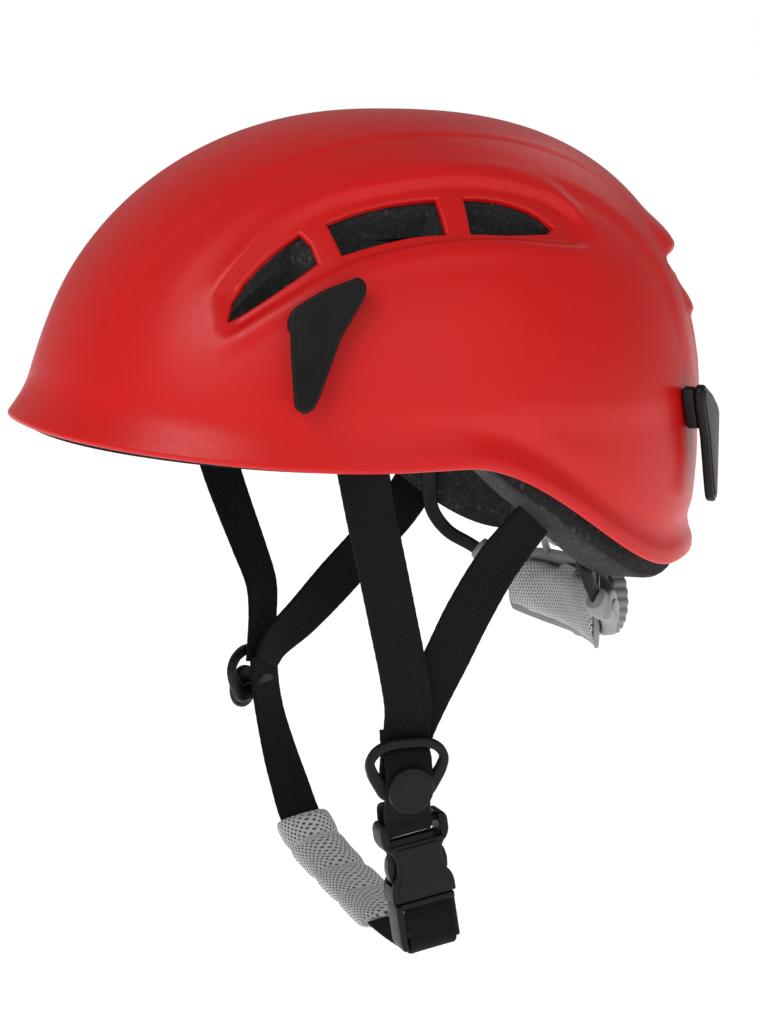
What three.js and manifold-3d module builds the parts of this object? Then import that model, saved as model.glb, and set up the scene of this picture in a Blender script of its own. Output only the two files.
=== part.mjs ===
// Climbing helmet: hard outer shell over a foam liner, webbing harness with a side-release
// buckle, padded chin strap, sprung headlamp clips and a wheel-adjusted nape cradle.
// Millimetres, +Z up, front of the helmet towards -Y, the wearer's left towards +X.
// The origin is the point of the crown pad that rests on top of the head.
import * as THREE from 'three';
import { mergeVertices } from 'three/addons/utils/BufferGeometryUtils.js';
import Module from 'manifold-3d';

const wasm = await Module();
wasm.setup();

const { degToRad, smoothstep, lerp, clamp } = THREE.MathUtils;

// ---------------------------------------------------------------- driving dimensions
const GAP = 0.3; // clearance between touching pieces

const CROWN_HEIGHT = 30; // top of the shell above the head
const SHELL_THICKNESS = 3;
const SHELL_OUTLINE = { front: 145, rear: 138, side: 110, power: 2.2 };
const SHELL_WIDEST = { front: -111, side: -100, rear: -110 }; // height of the widest section
const SHELL_DOME_POWER = { front: 2.1, side: 2.4, rear: 2.6 };
const SHELL_TAPER = { front: 0, side: 5, rear: 6 }; // pull-in over 50 mm below the widest
const RIM_FLARE = { front: 7, side: 2.5, rear: 3 };
const RIM_FLARE_HEIGHT = 9;
const RIM_HEIGHT = { front: -89, side: -100.5, rear: -151 };
const SPINE_LIP = { height: -25, reach: 6, halfWidth: 58 }; // trailing lip over the rear vents

const CAVITY = { front: 110, rear: 109, side: 84, power: 2.1, top: 6, widest: -60 };
const LINER_RIM_INSET = 5.2; // extra inset of the foam edge behind the shell's rim
const PAD_THICKNESS = 5.7;
const CROWN_PAD = { front: 62, rear: 62, side: 40, power: 2.4, gap: 1.2 };

const VENT_AXIS_HEIGHT = -90; // side vents are cut radially from this fore-and-aft axis
const SIDE_VENTS = [
  { top: [-87.5, -57.5], bottom: [-87.5, -54] },
  { top: [-47.5, -3], bottom: [-44, -3] },
  { top: [8, 46.5], bottom: [7.5, 43] },
];
const REAR_VENTS = [
  { inner: 7, outer: 52, top: -29, bottom: -38, outerBottom: -33 },
  { inner: 7, outer: 46, top: -53, bottom: -63, outerBottom: -58 },
];

const WEBBING = { width: 20, thickness: 1.6 };
const ANCHOR = { width: 23, thickness: 4.6, height: 5 };

const CLIP = { gapToShell: 4.2, thickness: 4, rootTop: 25, rootBottom: 4.1, pegRadius: 3, pegDepth: 6 };

const BAND_CENTRE_Y = 8; // the cradle's arcs are drawn around this vertical line
const CRADLE_HEIGHT = -180;
const CRADLE_PIVOT = new THREE.Vector3(0, 99, -98);
const WHEEL = { radius: 17.5, front: 105, rear: 111.5, lobes: 16 };
const RACK = { radius: 91, height: 4, thickness: 2, level: 6.4, start: -8, end: 24 };

const BUCKLE = { width: 27, depth: 11, height: 33, wall: 2.2, tilt: 9 };
const BUCKLE_TOP = new THREE.Vector3(64, -8.5, -250.5);

// ---------------------------------------------------------------- materials
const material = (color, roughness, metalness = 0) =>
  new THREE.MeshStandardMaterial({ color, roughness, metalness });
const RED_SHELL = material(0xc0141a, 0.35);
const FOAM = material(0x1d2021, 0.9);
const BLACK_PLASTIC = material(0x17181a, 0.55);
const WEBBING_BLACK = material(0x14161c, 0.95);
const GREY_PLASTIC = material(0x85888a, 0.5);
const GREY_MESH = material(0xa4a8ac, 0.9);
const DARK_PAD = material(0x2a2b2e, 0.95);
const STEEL = material(0xb4b6b8, 0.3, 1);

// ---------------------------------------------------------------- solids
const v = (x, y, z) => new THREE.Vector3(x, y, z);

function fromTriangles(points, triangles) {
  const geometry = new THREE.BufferGeometry();
  geometry.setAttribute('position', new THREE.Float32BufferAttribute(points.flatMap((p) => p.toArray()), 3));
  geometry.setIndex(triangles.flat());
  return facingOut(geometry);
}

// Turns every triangle round if the solid's signed volume is negative.
function facingOut(geometry) {
  const index = geometry.index.array;
  const position = geometry.attributes.position;
  const [a, b, c] = [v(), v(), v()];
  let volume = 0;
  for (let i = 0; i < index.length; i += 3) {
    a.fromBufferAttribute(position, index[i]);
    b.fromBufferAttribute(position, index[i + 1]);
    c.fromBufferAttribute(position, index[i + 2]);
    volume += a.dot(b.cross(c));
  }
  if (volume < 0) {
    for (let i = 0; i < index.length; i += 3) {
      [index[i], index[i + 1]] = [index[i + 1], index[i]];
    }
  }
  return geometry;
}

// A closed solid through a list of rings; a ring of one point closes the end in a fan.
function loft(rings) {
  const points = [];
  const starts = [];
  const middle = (ring) => [ring.reduce((sum, p) => sum.add(p), v()).divideScalar(ring.length)];
  const all = [...rings];
  if (rings[0].length > 1) all.unshift(middle(rings[0]));
  if (rings.at(-1).length > 1) all.push(middle(rings.at(-1)));
  for (const ring of all) {
    starts.push(points.length);
    points.push(...ring);
  }
  const triangles = [];
  for (let r = 0; r + 1 < all.length; r += 1) {
    const [lower, upper] = [all[r], all[r + 1]];
    const count = Math.max(lower.length, upper.length);
    for (let i = 0; i < count; i += 1) {
      const j = (i + 1) % count;
      const at = (ring, start, k) => start + (ring.length === 1 ? 0 : k);
      const [a, b] = [at(lower, starts[r], i), at(lower, starts[r], j)];
      const [c, d] = [at(upper, starts[r + 1], i), at(upper, starts[r + 1], j)];
      if (a !== b) triangles.push([a, b, c]);
      if (c !== d) triangles.push([b, d, c]);
    }
  }
  return fromTriangles(points, triangles);
}

// A curved plate: pointAt(u, v, depth) over a grid, between two depths.
function slab(pointAt, [u0, u1, nu], [v0, v1, nv], [depth0, depth1]) {
  const points = [];
  const triangles = [];
  const layer = (nu + 1) * (nv + 1);
  for (const depth of [depth0, depth1]) {
    for (let j = 0; j <= nv; j += 1) {
      for (let i = 0; i <= nu; i += 1) {
        points.push(pointAt(lerp(u0, u1, i / nu), lerp(v0, v1, j / nv), depth));
      }
    }
  }
  const at = (i, j, side) => side * layer + j * (nu + 1) + i;
  const quad = (a, b, c, d) => triangles.push([a, b, c], [a, c, d]);
  for (let j = 0; j < nv; j += 1) {
    for (let i = 0; i < nu; i += 1) {
      quad(at(i, j, 0), at(i, j + 1, 0), at(i + 1, j + 1, 0), at(i + 1, j, 0));
      quad(at(i, j, 1), at(i + 1, j, 1), at(i + 1, j + 1, 1), at(i, j + 1, 1));
    }
    quad(at(0, j, 0), at(0, j, 1), at(0, j + 1, 1), at(0, j + 1, 0));
    quad(at(nu, j, 0), at(nu, j + 1, 0), at(nu, j + 1, 1), at(nu, j, 1));
  }
  for (let i = 0; i < nu; i += 1) {
    quad(at(i, 0, 0), at(i + 1, 0, 0), at(i + 1, 0, 1), at(i, 0, 1));
    quad(at(i, nv, 0), at(i, nv, 1), at(i + 1, nv, 1), at(i + 1, nv, 0));
  }
  return fromTriangles(points, triangles);
}

// A flat band swept along a route; each stop is [position, width direction].
function ribbon(route, width, thickness, steps = 24) {
  const path = new THREE.CatmullRomCurve3(route.map(([p]) => p), false, 'centripetal');
  const across = new THREE.CatmullRomCurve3(route.map(([, w]) => w.clone().normalize()), false, 'centripetal');
  const rings = [];
  for (let i = 0; i <= steps; i += 1) {
    const t = i / steps;
    const centre = path.getPoint(t);
    const tangent = path.getTangent(t);
    const side = across.getPoint(t);
    side.addScaledVector(tangent, -side.dot(tangent)).normalize();
    const face = v().crossVectors(tangent, side);
    const corner = (a, b) =>
      centre.clone().addScaledVector(side, (a * width) / 2).addScaledVector(face, (b * thickness) / 2);
    rings.push([corner(-1, -1), corner(1, -1), corner(1, 1), corner(-1, 1)]);
  }
  return loft(rings);
}

function toSolid(geometry) {
  const bare = merged(geometry);
  const mesh = new wasm.Mesh({
    numProp: 3,
    vertProperties: new Float32Array(bare.attributes.position.array),
    triVerts: new Uint32Array(bare.index.array),
  });
  return new wasm.Manifold(mesh);
}

function toGeometry(solid) {
  const mesh = solid.getMesh();
  const geometry = new THREE.BufferGeometry();
  geometry.setAttribute('position', new THREE.BufferAttribute(new Float32Array(mesh.vertProperties), 3));
  geometry.setIndex(new THREE.BufferAttribute(new Uint32Array(mesh.triVerts), 1));
  return geometry;
}

const cut = (body, ...tools) => toGeometry(tools.reduce((left, tool) => left.subtract(toSolid(tool)), toSolid(body)));
const join = (body, ...others) => toGeometry(others.reduce((sum, other) => sum.add(toSolid(other)), toSolid(body)));

// Geometry with its positions only, and each corner stored once.
function merged(geometry) {
  const bare = geometry.clone();
  bare.deleteAttribute('normal');
  bare.deleteAttribute('uv');
  return mergeVertices(bare, 1e-4);
}

const moved = (geometry, matrix) => facingOut(merged(geometry).applyMatrix4(matrix));

const mirrored = (geometry) => moved(geometry, new THREE.Matrix4().makeScale(-1, 1, 1));

const box = (x, y, z, at) => new THREE.BoxGeometry(x, y, z).translate(at.x, at.y, at.z);

// A cylinder whose axis runs fore and aft, between two stations along Y.
function axleCylinder(radius, y0, y1, z, sides = 32) {
  return new THREE.CylinderGeometry(radius, radius, y1 - y0, sides).translate(0, (y0 + y1) / 2, z);
}

// ---------------------------------------------------------------- shell surface
// Angles run from the front (0) over the wearer's left (90) to the rear (180).
function around({ front, side, rear }, degrees) {
  const angle = degToRad(degrees);
  const middle = (front + rear) / 2;
  const first = ((front - rear) / 2) * Math.cos(angle);
  return (middle + side) / 2 + first + ((middle - side) / 2) * Math.cos(2 * angle);
}

function superellipse({ front, rear, side, power }, degrees) {
  const angle = degToRad(degrees);
  const length = (front + rear) / 2 + ((front - rear) / 2) * Math.cos(angle);
  const sum = (Math.abs(Math.sin(angle)) / side) ** power + (Math.abs(Math.cos(angle)) / length) ** power;
  return sum ** (-1 / power);
}

function rimHeight(degrees) {
  const turn = Math.abs(((((degrees + 180) % 360) + 360) % 360) - 180);
  const toSide = (RIM_HEIGHT.side - RIM_HEIGHT.front) * smoothstep(turn, 0, 75);
  const toRear = (RIM_HEIGHT.rear - RIM_HEIGHT.side) * smoothstep(turn, 88, 146);
  return RIM_HEIGHT.front + toSide + toRear;
}

function shellRadius(degrees, z) {
  const widest = around(SHELL_WIDEST, degrees);
  const power = around(SHELL_DOME_POWER, degrees);
  const rise = clamp((z - widest) / (CROWN_HEIGHT - widest), 0, 1);
  const dome = superellipse(SHELL_OUTLINE, degrees) * Math.max(1 - rise ** power, 0) ** (1 / power);
  const taper = around(SHELL_TAPER, degrees) * clamp((widest - z) / 50, 0, 1) ** 1.5;
  const flare = around(RIM_FLARE, degrees) * Math.exp(-Math.max(z - rimHeight(degrees), 0) / RIM_FLARE_HEIGHT);
  return dome - taper + flare;
}

// The raised back of the crown, ending in a lip just above the upper rear vents.
function spineLip(degrees, z) {
  const angle = degToRad(degrees);
  const sideways = Math.abs(Math.sin(angle)) * 120;
  if (Math.cos(angle) > 0) return 0;
  const across = 1 - smoothstep(sideways, SPINE_LIP.halfWidth - 14, SPINE_LIP.halfWidth);
  const down = smoothstep(-z, -14, -SPINE_LIP.height) * (1 - smoothstep(-z, -SPINE_LIP.height, -SPINE_LIP.height + 5));
  return SPINE_LIP.reach * across * down;
}

const polar = (degrees, radius, z) =>
  v(radius * Math.sin(degToRad(degrees)), -radius * Math.cos(degToRad(degrees)), z);

// fall runs from 0 at the crown to 1 at the rim, closer together near the crown.
// Only the outside has the spine's lip; the wall is thicker behind it.
function shellPoint(degrees, fall, inset = 0) {
  const raw = (d, f) => {
    const z = CROWN_HEIGHT + (rimHeight(d) - CROWN_HEIGHT) * (1 - Math.cos((f * Math.PI) / 2));
    return polar(d, shellRadius(d, z) + (inset > 0 ? 0 : spineLip(d, z)), z);
  };
  if (fall === 0) return v(0, 0, CROWN_HEIGHT - inset);
  const point = raw(degrees, fall);
  if (inset === 0) return point;
  const alongRing = raw(degrees + 0.5, fall).sub(raw(degrees - 0.5, fall));
  const downWall = raw(degrees, Math.min(fall + 0.005, 1)).sub(raw(degrees, fall - 0.005));
  const normal = v().crossVectors(downWall, alongRing).normalize();
  return point.addScaledVector(normal, -inset);
}

const RING_COUNT = 52;
const ring = (pointAt, count = RING_COUNT) =>
  Array.from({ length: count }, (_, i) => pointAt((i * 360) / count));

function shellRings(levels, insetAt) {
  const rings = [[shellPoint(0, 0, insetAt(0))]];
  for (let i = 1; i <= levels; i += 1) {
    const fall = i / levels;
    rings.push(ring((d) => shellPoint(d, fall, insetAt(fall))));
  }
  return rings;
}

// ---------------------------------------------------------------- head cavity surface
function cavityRadius(degrees, z) {
  const rise = clamp((z - CAVITY.widest) / (CAVITY.top - CAVITY.widest), 0, 1);
  return superellipse(CAVITY, degrees) * Math.sqrt(1 - rise ** 2);
}

function cavityHeight(degrees, radius) {
  const share = radius / superellipse(CAVITY, degrees);
  return CAVITY.widest + (CAVITY.top - CAVITY.widest) * Math.sqrt(1 - share ** 2);
}

// ---------------------------------------------------------------- vents
// The side vents share one crescent. Its edges are angles from straight up, in degrees about the vent axis,
// and they droop over the listed ranges of y towards the front and the back.
const VENT_EDGES = {
  upper: { middle: 41, frontDroop: 19.8, backDroop: 8 },
  lower: { middle: 49.3, frontDroop: 11.3 },
  front: [-15, -87.5],
  back: [10, 48],
};

function ventEdge(y, edge) {
  const { upper, lower, front, back } = VENT_EDGES;
  const share = ([from, to]) => clamp((y - from) / (to - from), 0, 1);
  const droop = (range) => 1 - Math.sqrt(1 - share(range) ** 2);
  if (edge === 'upper') return upper.middle + upper.frontDroop * droop(front) + upper.backDroop * droop(back);
  return lower.middle + lower.frontDroop * share(front) ** 2;
}

function sideVentOutline({ top, bottom }, inset) {
  const steps = 6;
  const along = (range, edge, shift) =>
    Array.from({ length: steps + 1 }, (_, i) => {
      const y = lerp(range[0] + inset, range[1] - inset, i / steps);
      return [y, ventEdge(y, edge) + shift];
    });
  const degreesIn = (inset / 120) * (180 / Math.PI);
  const upper = along(top, 'upper', degreesIn);
  const lower = along(bottom, 'lower', -degreesIn).reverse();
  return [...upper, ...lower].filter(([y, a], i, all) => {
    const [py, pa] = all[(i + all.length - 1) % all.length];
    return Math.hypot(y - py, 2 * (a - pa)) > 0.5;
  });
}

function sideVentCutter(vent, inset) {
  const outline = sideVentOutline(vent, inset);
  const at = (reach) =>
    outline.map(([y, a]) => v(reach * Math.sin(degToRad(a)), y, VENT_AXIS_HEIGHT + reach * Math.cos(degToRad(a))));
  return loft([at(50), at(150)]);
}

function rearVentCutter({ inner, outer, top, bottom, outerBottom }, inset) {
  const shape = [
    [inner + inset, top - inset],
    [outer - inset, top - inset],
    [outer - inset, outerBottom + inset],
    [inner + inset, bottom + inset],
  ];
  const at = (y) => shape.map(([x, z]) => v(x, y, z));
  return loft([at(40), at(170)]);
}

function ventCutters(inset) {
  const left = [...SIDE_VENTS.map((vent) => sideVentCutter(vent, inset)),
    ...REAR_VENTS.map((vent) => rearVentCutter(vent, inset))];
  return [...left, ...left.map(mirrored)];
}

// ---------------------------------------------------------------- headlamp clips
// Local frame on the shell: x backwards along the wall, y up the wall, z outwards.
function wallFrame(degrees, z, flip) {
  const at = (d, h) => polar(d, shellRadius(d, h), h);
  const origin = at(degrees, z);
  const outward = v().crossVectors(at(degrees + 0.1, z).sub(origin), at(degrees, z + 0.1).sub(origin)).normalize();
  if (outward.dot(v(origin.x, origin.y, 0)) < 0) outward.negate();
  const up = v(0, 0, 1).addScaledVector(outward, -outward.z).normalize();
  const sideways = v().crossVectors(up, outward).multiplyScalar(flip);
  return new THREE.Matrix4().makeBasis(sideways, up, outward).setPosition(origin);
}

const CLIP_FRAMES = {
  front: wallFrame(60, -54, 1),
  rear: wallFrame(149, -102, -1),
};

const CLIP_LEVER_OUTLINE = [
  [13.5, 24.3], [16.3, 21.5], [15.9, 17], [11.8, 9.9], [6.8, 1.7], [3, -8.4], [-1.2, -19.9],
  [-3.8, -25.4], [-7.6, -27.2], [-11, -24.9], [-12, -8], [-12.5, 10.5], [-10.2, 13], [-0.7, 18.7],
];
const CLIP_BASE_OUTLINE = [
  [12.8, 23.3], [15.4, 21.3], [15, 17.3], [11.3, 10.9], [7.8, 5], [-13.3, 4.4], [-13.2, 9.8], [-9.8, 12.2], [-0.5, 17.9],
];

function plate(outline, z0, z1) {
  const shape = new THREE.Shape(outline.map(([x, y]) => new THREE.Vector2(x, y)));
  return new THREE.ExtrudeGeometry(shape, { depth: z1 - z0, bevelEnabled: false }).translate(0, 0, z0);
}

function peg(radius, depth, top) {
  return new THREE.CylinderGeometry(radius, radius, top + depth, 20).rotateX(Math.PI / 2)
    .translate(0, 13, (top - depth) / 2);
}

// The tongue's inner face stands a little proud of the root's, so a strap seats on it alone.
function clipLever(frame) {
  const lever = plate(CLIP_LEVER_OUTLINE, CLIP.gapToShell, CLIP.gapToShell + CLIP.thickness);
  const rootHeight = CLIP.rootTop - CLIP.rootBottom;
  const step = box(40, rootHeight, 2 * GAP, v(0, CLIP.rootBottom + rootHeight / 2, CLIP.gapToShell));
  return moved(cut(lever, step), frame);
}

function clipBase(frame) {
  const block = moved(plate(CLIP_BASE_OUTLINE, -5, CLIP.gapToShell - GAP), frame);
  const pad = cut(block, shellEnvelope(GAP));
  return join(pad, moved(peg(CLIP.pegRadius, CLIP.pegDepth, 2), frame));
}

// The solid that the shell's outer surface encloses, grown by a clearance.
function shellEnvelope(clearance) {
  return loft(shellRings(20, () => -clearance));
}

const pegHoles = (radius, depth) => {
  const left = Object.values(CLIP_FRAMES).map((frame) => moved(peg(radius, depth, 12), frame));
  return [...left, ...left.map(mirrored)];
};

// ---------------------------------------------------------------- shell, foam and pads
function outerShell() {
  const bowl = loft([...shellRings(12, () => 0), ...shellRings(12, () => SHELL_THICKNESS).reverse()]);
  return cut(bowl, ...ventCutters(0), ...pegHoles(CLIP.pegRadius + GAP, 12));
}

function foamLiner() {
  const behindRim = (fall) => SHELL_THICKNESS + GAP + LINER_RIM_INSET * smoothstep(fall, 0.86, 1);
  const outer = shellRings(12, behindRim);
  const drop = (d) => {
    const turn = Math.abs(((((d + 180) % 360) + 360) % 360) - 180);
    return 1.5 + 6 * smoothstep(turn, 90, 106) * (1 - smoothstep(turn, 150, 170));
  };
  const bottom = (d) => rimHeight(d) - drop(d);
  const edge = ring((d) => polar(d, shellRadius(d, rimHeight(d)) - SHELL_THICKNESS - GAP - LINER_RIM_INSET, bottom(d)));
  const inner = [];
  for (const share of [1, 0.5, 0]) {
    inner.push(ring((d) => polar(d, cavityRadius(d, CAVITY.widest), lerp(CAVITY.widest, bottom(d), share))));
  }
  for (const rise of [0.3, 0.55, 0.74, 0.87, 0.96]) {
    const z = lerp(CAVITY.widest, CAVITY.top, rise);
    inner.push(ring((d) => polar(d, cavityRadius(d, z), z)));
  }
  const body = loft([...outer, edge, ...inner, [v(0, 0, CAVITY.top)]]);
  return cut(body, ...ventCutters(1.5), ...pegHoles(CLIP.pegRadius + 2 * GAP, CLIP.pegDepth + 2),
    ...Object.values(STRAP_ROUTES).map(strapSlot));
}

function wallPad([from, to], [low, high]) {
  const onWall = (d, z, depth) => polar(d, cavityRadius(d, z) - depth, z);
  return slab(onWall, [from, to, 14], [low, high, 4], [GAP, GAP + PAD_THICKNESS]);
}

function crownPad() {
  const rim = (d) => superellipse(CROWN_PAD, d);
  const underside = CAVITY.top;
  const at = (share, drop) => ring((d) => {
    const radius = rim(d) * share;
    return polar(d, radius, cavityHeight(d, radius) - drop);
  }, 40);
  const shares = [0.35, 0.7, 1];
  return loft([
    [v(0, 0, CAVITY.top - CROWN_PAD.gap)],
    ...shares.map((share) => at(share, CROWN_PAD.gap)),
    ...shares.toReversed().map((share) => at(share, underside)),
    [v(0, 0, CAVITY.top - underside)],
  ]);
}

// ---------------------------------------------------------------- harness webbing
// Each stop: centre of the webbing, then the direction of its width.
const FACE_OUT = v(0, 1, 0.15);
const STRAP_ROUTES = {
  front_left: [
    [v(95.5, -44.5, -80), v(0.2, 1, 0)], [v(94.8, -42, -92), v(0.2, 1, 0)], [v(92.5, -38.5, -104), v(0.15, 1, 0)],
    [v(89, -34.5, -120), FACE_OUT], [v(86, -29.3, -138.6), FACE_OUT], [v(81, -22, -165), FACE_OUT],
    [v(77.6, -16.5, -186), FACE_OUT], [v(74.4, -13, -202), v(0, 1, 0.05)], [v(72.3, -13, -213), v(0, 1, 0)],
    [v(71.6, -13.5, -224), v(0, 1, 0)],
  ],
  rear_left: [
    [v(87, 50.5, -102), v(-0.55, 1, 0)], [v(86.6, 46, -112), v(-0.5, 1, -0.2)], [v(85.5, 38.5, -124), v(-0.3, 1, -0.35)],
    [v(82, 22.8, -143.9), v(-0.1, 1, -0.6)], [v(79, 11.4, -163.7), v(0, 1, -0.55)], [v(74.6, 2.9, -183.9), v(0, 1, -0.4)],
    [v(70.6, -4.5, -200), v(0, 1, -0.35)], [v(69, -10.5, -213), v(0, 1, -0.2)], [v(68.6, -13.5, -224), v(0, 1, 0)],
  ],
  front_right: [
    [v(-95.5, -44.5, -80), v(-0.2, 1, 0)], [v(-95.6, -43.5, -96), v(-0.2, 1, 0)], [v(-95, -41, -112), v(-0.2, 1, 0)],
    [v(-93, -37, -130), v(-0.3, 1, 0.1)], [v(-89, -32, -147.6), v(-0.4, 1, 0.1)], [v(-85, -27, -164), v(-0.5, 1, 0.1)],
    [v(-80, -23, -180), v(-0.6, 1, 0)], [v(-77, -23.4, -192.8), v(-0.7, 1, 0)], [v(-74, -25.5, -206), v(-0.75, 1, 0)],
    [v(-73, -26.5, -214), v(-0.75, 1, 0)],
  ],
  rear_right: [
    [v(-87, 50.5, -102), v(0.55, 1, 0)], [v(-87, 54, -116), v(0.55, 1, 0)], [v(-85, 55, -134), v(0.4, 1, -0.3)],
    [v(-83, 45.6, -148.6), v(0.1, 1, -0.7)], [v(-81, 31.6, -162.6), v(0, 1, -0.95)], [v(-78, 14, -178.3), v(0, 1, -0.95)],
    [v(-74.5, -5, -195), v(-0.3, 1, -0.8)], [v(-71, -19.5, -206), v(-0.6, 1, -0.5)], [v(-69.8, -24.4, -214), v(-0.75, 1, 0)],
  ],
};
const BUCKLE_STRAP_ROUTE = [
  [v(70, -14, -228), v(0, 1, 0)], [v(69.4, -13.4, -234), v(0, 1, 0)], [v(66.6, -11, -241.5), v(0, 1, 0.1)],
  [v(64.4, -9.4, -247.2), v(0, 1, 0.158)], [v(64, -9.1, -249), v(0, 1, 0.158)],
];
const CHIN_STRAP_ROUTE = [
  [v(-71.2, -25.2, -220.5), v(-0.75, 1, 0)], [v(-70.8, -24.2, -229), v(-0.75, 1, 0)], [v(-69.6, -22.6, -238), v(-0.7, 1, 0)],
  [v(-65.5, -20, -253), v(-0.5, 1, 0)], [v(-57, -18, -267), v(-0.3, 1, 0)], [v(-47, -16.2, -280), v(-0.15, 1, 0)],
  [v(-37, -12.8, -289.5), v(-0.1, 1, 0)], [v(-24, -8.8, -296.2), v(-0.1, 1, 0)], [v(-5, -5.6, -300.9), v(-0.05, 1, 0)],
  [v(12, -4, -303.6), v(0, 1, 0)], [v(28, -3, -305), v(0, 1, 0.05)], [v(44, -1.6, -305.4), v(0, 1, 0.12)],
  [v(56, -0.6, -305.1), v(0, 1, 0.158)], [v(68.5, -0.2, -304.9), v(0, 1, 0.158)],
];
const CHIN_PAD_STOPS = [5, 11]; // the sleeve covers this part of the chin strap's route

const strap = (route) => ribbon(route, WEBBING.width, WEBBING.thickness);

// The top end of a strap route carried straight up by a length.
function routeTop(route, rise) {
  const [first, width] = route[0];
  const upwards = first.clone().sub(route[1][0]).normalize();
  return [first.clone().addScaledVector(upwards, rise), width];
}

function strapSlot(route) {
  const steps = 14;
  const inFoam = [routeTop(route, 3 * GAP + ANCHOR.height), ...route.slice(0, 6)];
  return ribbon(inFoam, ANCHOR.width + 2 * GAP + 0.4, ANCHOR.thickness + 2 * GAP, steps);
}

const straightOn = ([from], [to, width], reach) =>
  [to.clone().addScaledVector(to.clone().sub(from).normalize(), reach), width];

function strapAnchor(route) {
  return ribbon([routeTop(route, 2 * GAP), routeTop(route, 2 * GAP + ANCHOR.height)], ANCHOR.width, ANCHOR.thickness, 1);
}

function chinPad() {
  const stretch = CHIN_STRAP_ROUTE.slice(...CHIN_PAD_STOPS);
  const past = [straightOn(stretch[1], stretch[0], 8), ...stretch, straightOn(stretch.at(-2), stretch.at(-1), 8)];
  return cut(ribbon(stretch, 27, 8, 20), ribbon(past, WEBBING.width + 1, WEBBING.thickness + 1.2, 26));
}

// ---------------------------------------------------------------- strap dividers
// Rounded triangular ring in the local xy plane, its thickness along z.
function dividerRing() {
  const shape = new THREE.Shape();
  shape.moveTo(8, 12.5);
  shape.lineTo(-8, 12.5);
  shape.bezierCurveTo(-12, 12.5, -17.5, 6.5, -17.5, 3.5);
  shape.bezierCurveTo(-17.5, -1, -13, -12.5, -9.5, -12.5);
  shape.lineTo(9.5, -12.5);
  shape.bezierCurveTo(13, -12.5, 17.5, -1, 17.5, 3.5);
  shape.bezierCurveTo(17.5, 6.5, 12, 12.5, 8, 12.5);
  for (const side of [-1, 1]) {
    const hole = new THREE.Path();
    hole.moveTo(side * 11, 7.5);
    hole.lineTo(side * 14, 3.2);
    hole.lineTo(side * 10.5, -6.5);
    hole.lineTo(side * 9.5, 4);
    shape.holes.push(hole);
  }
  return new THREE.ExtrudeGeometry(shape, { depth: 3.6, bevelEnabled: false, curveSegments: 6 });
}

const dividerDisc = () =>
  new THREE.CylinderGeometry(9.5, 9.5, 3, 32).rotateX(Math.PI / 2).translate(0, -7.5, 3.6 + GAP + 1.5);

// Local x runs backwards, local y up the strap, local z away from the head.
const DIVIDER_PLACES = {
  left: new THREE.Matrix4().makeBasis(v(0, 1, 0), v(0.04, 0, 1).normalize(), v(1, 0, -0.04).normalize())
    .setPosition(v(73.9, -14, -226.5)),
  right: new THREE.Matrix4().makeBasis(v(-0.6, 0.8, 0), v(0, 0, 1), v(-0.8, -0.6, 0))
    .setPosition(v(-74.2, -27.9, -219)),
};

// ---------------------------------------------------------------- side-release buckle
// Local frame: the origin is the middle of the socket's top, the plug leaves towards -z.
const BUCKLE_PLACE = new THREE.Matrix4().makeRotationX(degToRad(BUCKLE.tilt)).setPosition(BUCKLE_TOP);

function buckleSocket() {
  const { width, depth, height, wall } = BUCKLE;
  const outer = new THREE.Shape();
  outer.moveTo(-width / 2 - 0.8, 0);
  outer.lineTo(width / 2 + 0.8, 0);
  outer.lineTo(width / 2 + 0.8, -8);
  outer.lineTo(width / 2 - 1, -14);
  outer.lineTo(width / 2, -height);
  outer.lineTo(-width / 2, -height);
  outer.lineTo(-width / 2 + 1, -14);
  outer.lineTo(-width / 2 - 0.8, -8);
  outer.closePath();
  const body = new THREE.ExtrudeGeometry(outer, { depth, bevelEnabled: false })
    .applyMatrix4(new THREE.Matrix4().makeBasis(v(0, 1, 0), v(0, 0, 1), v(1, 0, 0)))
    .translate(-depth / 2, 0, 0);
  const chamber = box(depth - 2 * wall, width - 2 * wall, height - 9, v(0, 0, -9 - (height - 9) / 2 - 1));
  const mouth = box(depth - 2 * wall, width - 2 * wall, 4, v(0, 0, -height));
  const windows = box(depth - 2 * wall - 0.4, width + 6, 9, v(0, 0, -20));
  const webbingSlot = box(depth + 2, 21.5, 2.6, v(0, 0, -5.5));
  return moved(cut(body, chamber, mouth, windows, webbingSlot), BUCKLE_PLACE);
}

const PLUG_TOP = -BUCKLE.height - GAP;
const PRONG = { width: 4.2, thickness: 5.6, length: 21, offset: 8.6 };

function bucklePlug() {
  const base = box(9.4, 24.6, 20, v(0, 0, PLUG_TOP - 10));
  const guide = box(3.4, 4.4, 20, v(0, 0, PLUG_TOP + 8));
  const barSlot = box(12, 21, 4.6, v(0, 0, PLUG_TOP - 13));
  return moved(cut(join(base, guide), barSlot), BUCKLE_PLACE);
}

function prong(side) {
  const bottom = PLUG_TOP + GAP;
  const stem = box(PRONG.thickness, PRONG.width - 1.2, PRONG.length, v(0, side * PRONG.offset, bottom + PRONG.length / 2));
  const shoulder = box(PRONG.thickness, PRONG.width, 7, v(0, side * PRONG.offset, bottom + 14));
  return moved(join(stem, shoulder), BUCKLE_PLACE);
}

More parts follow.
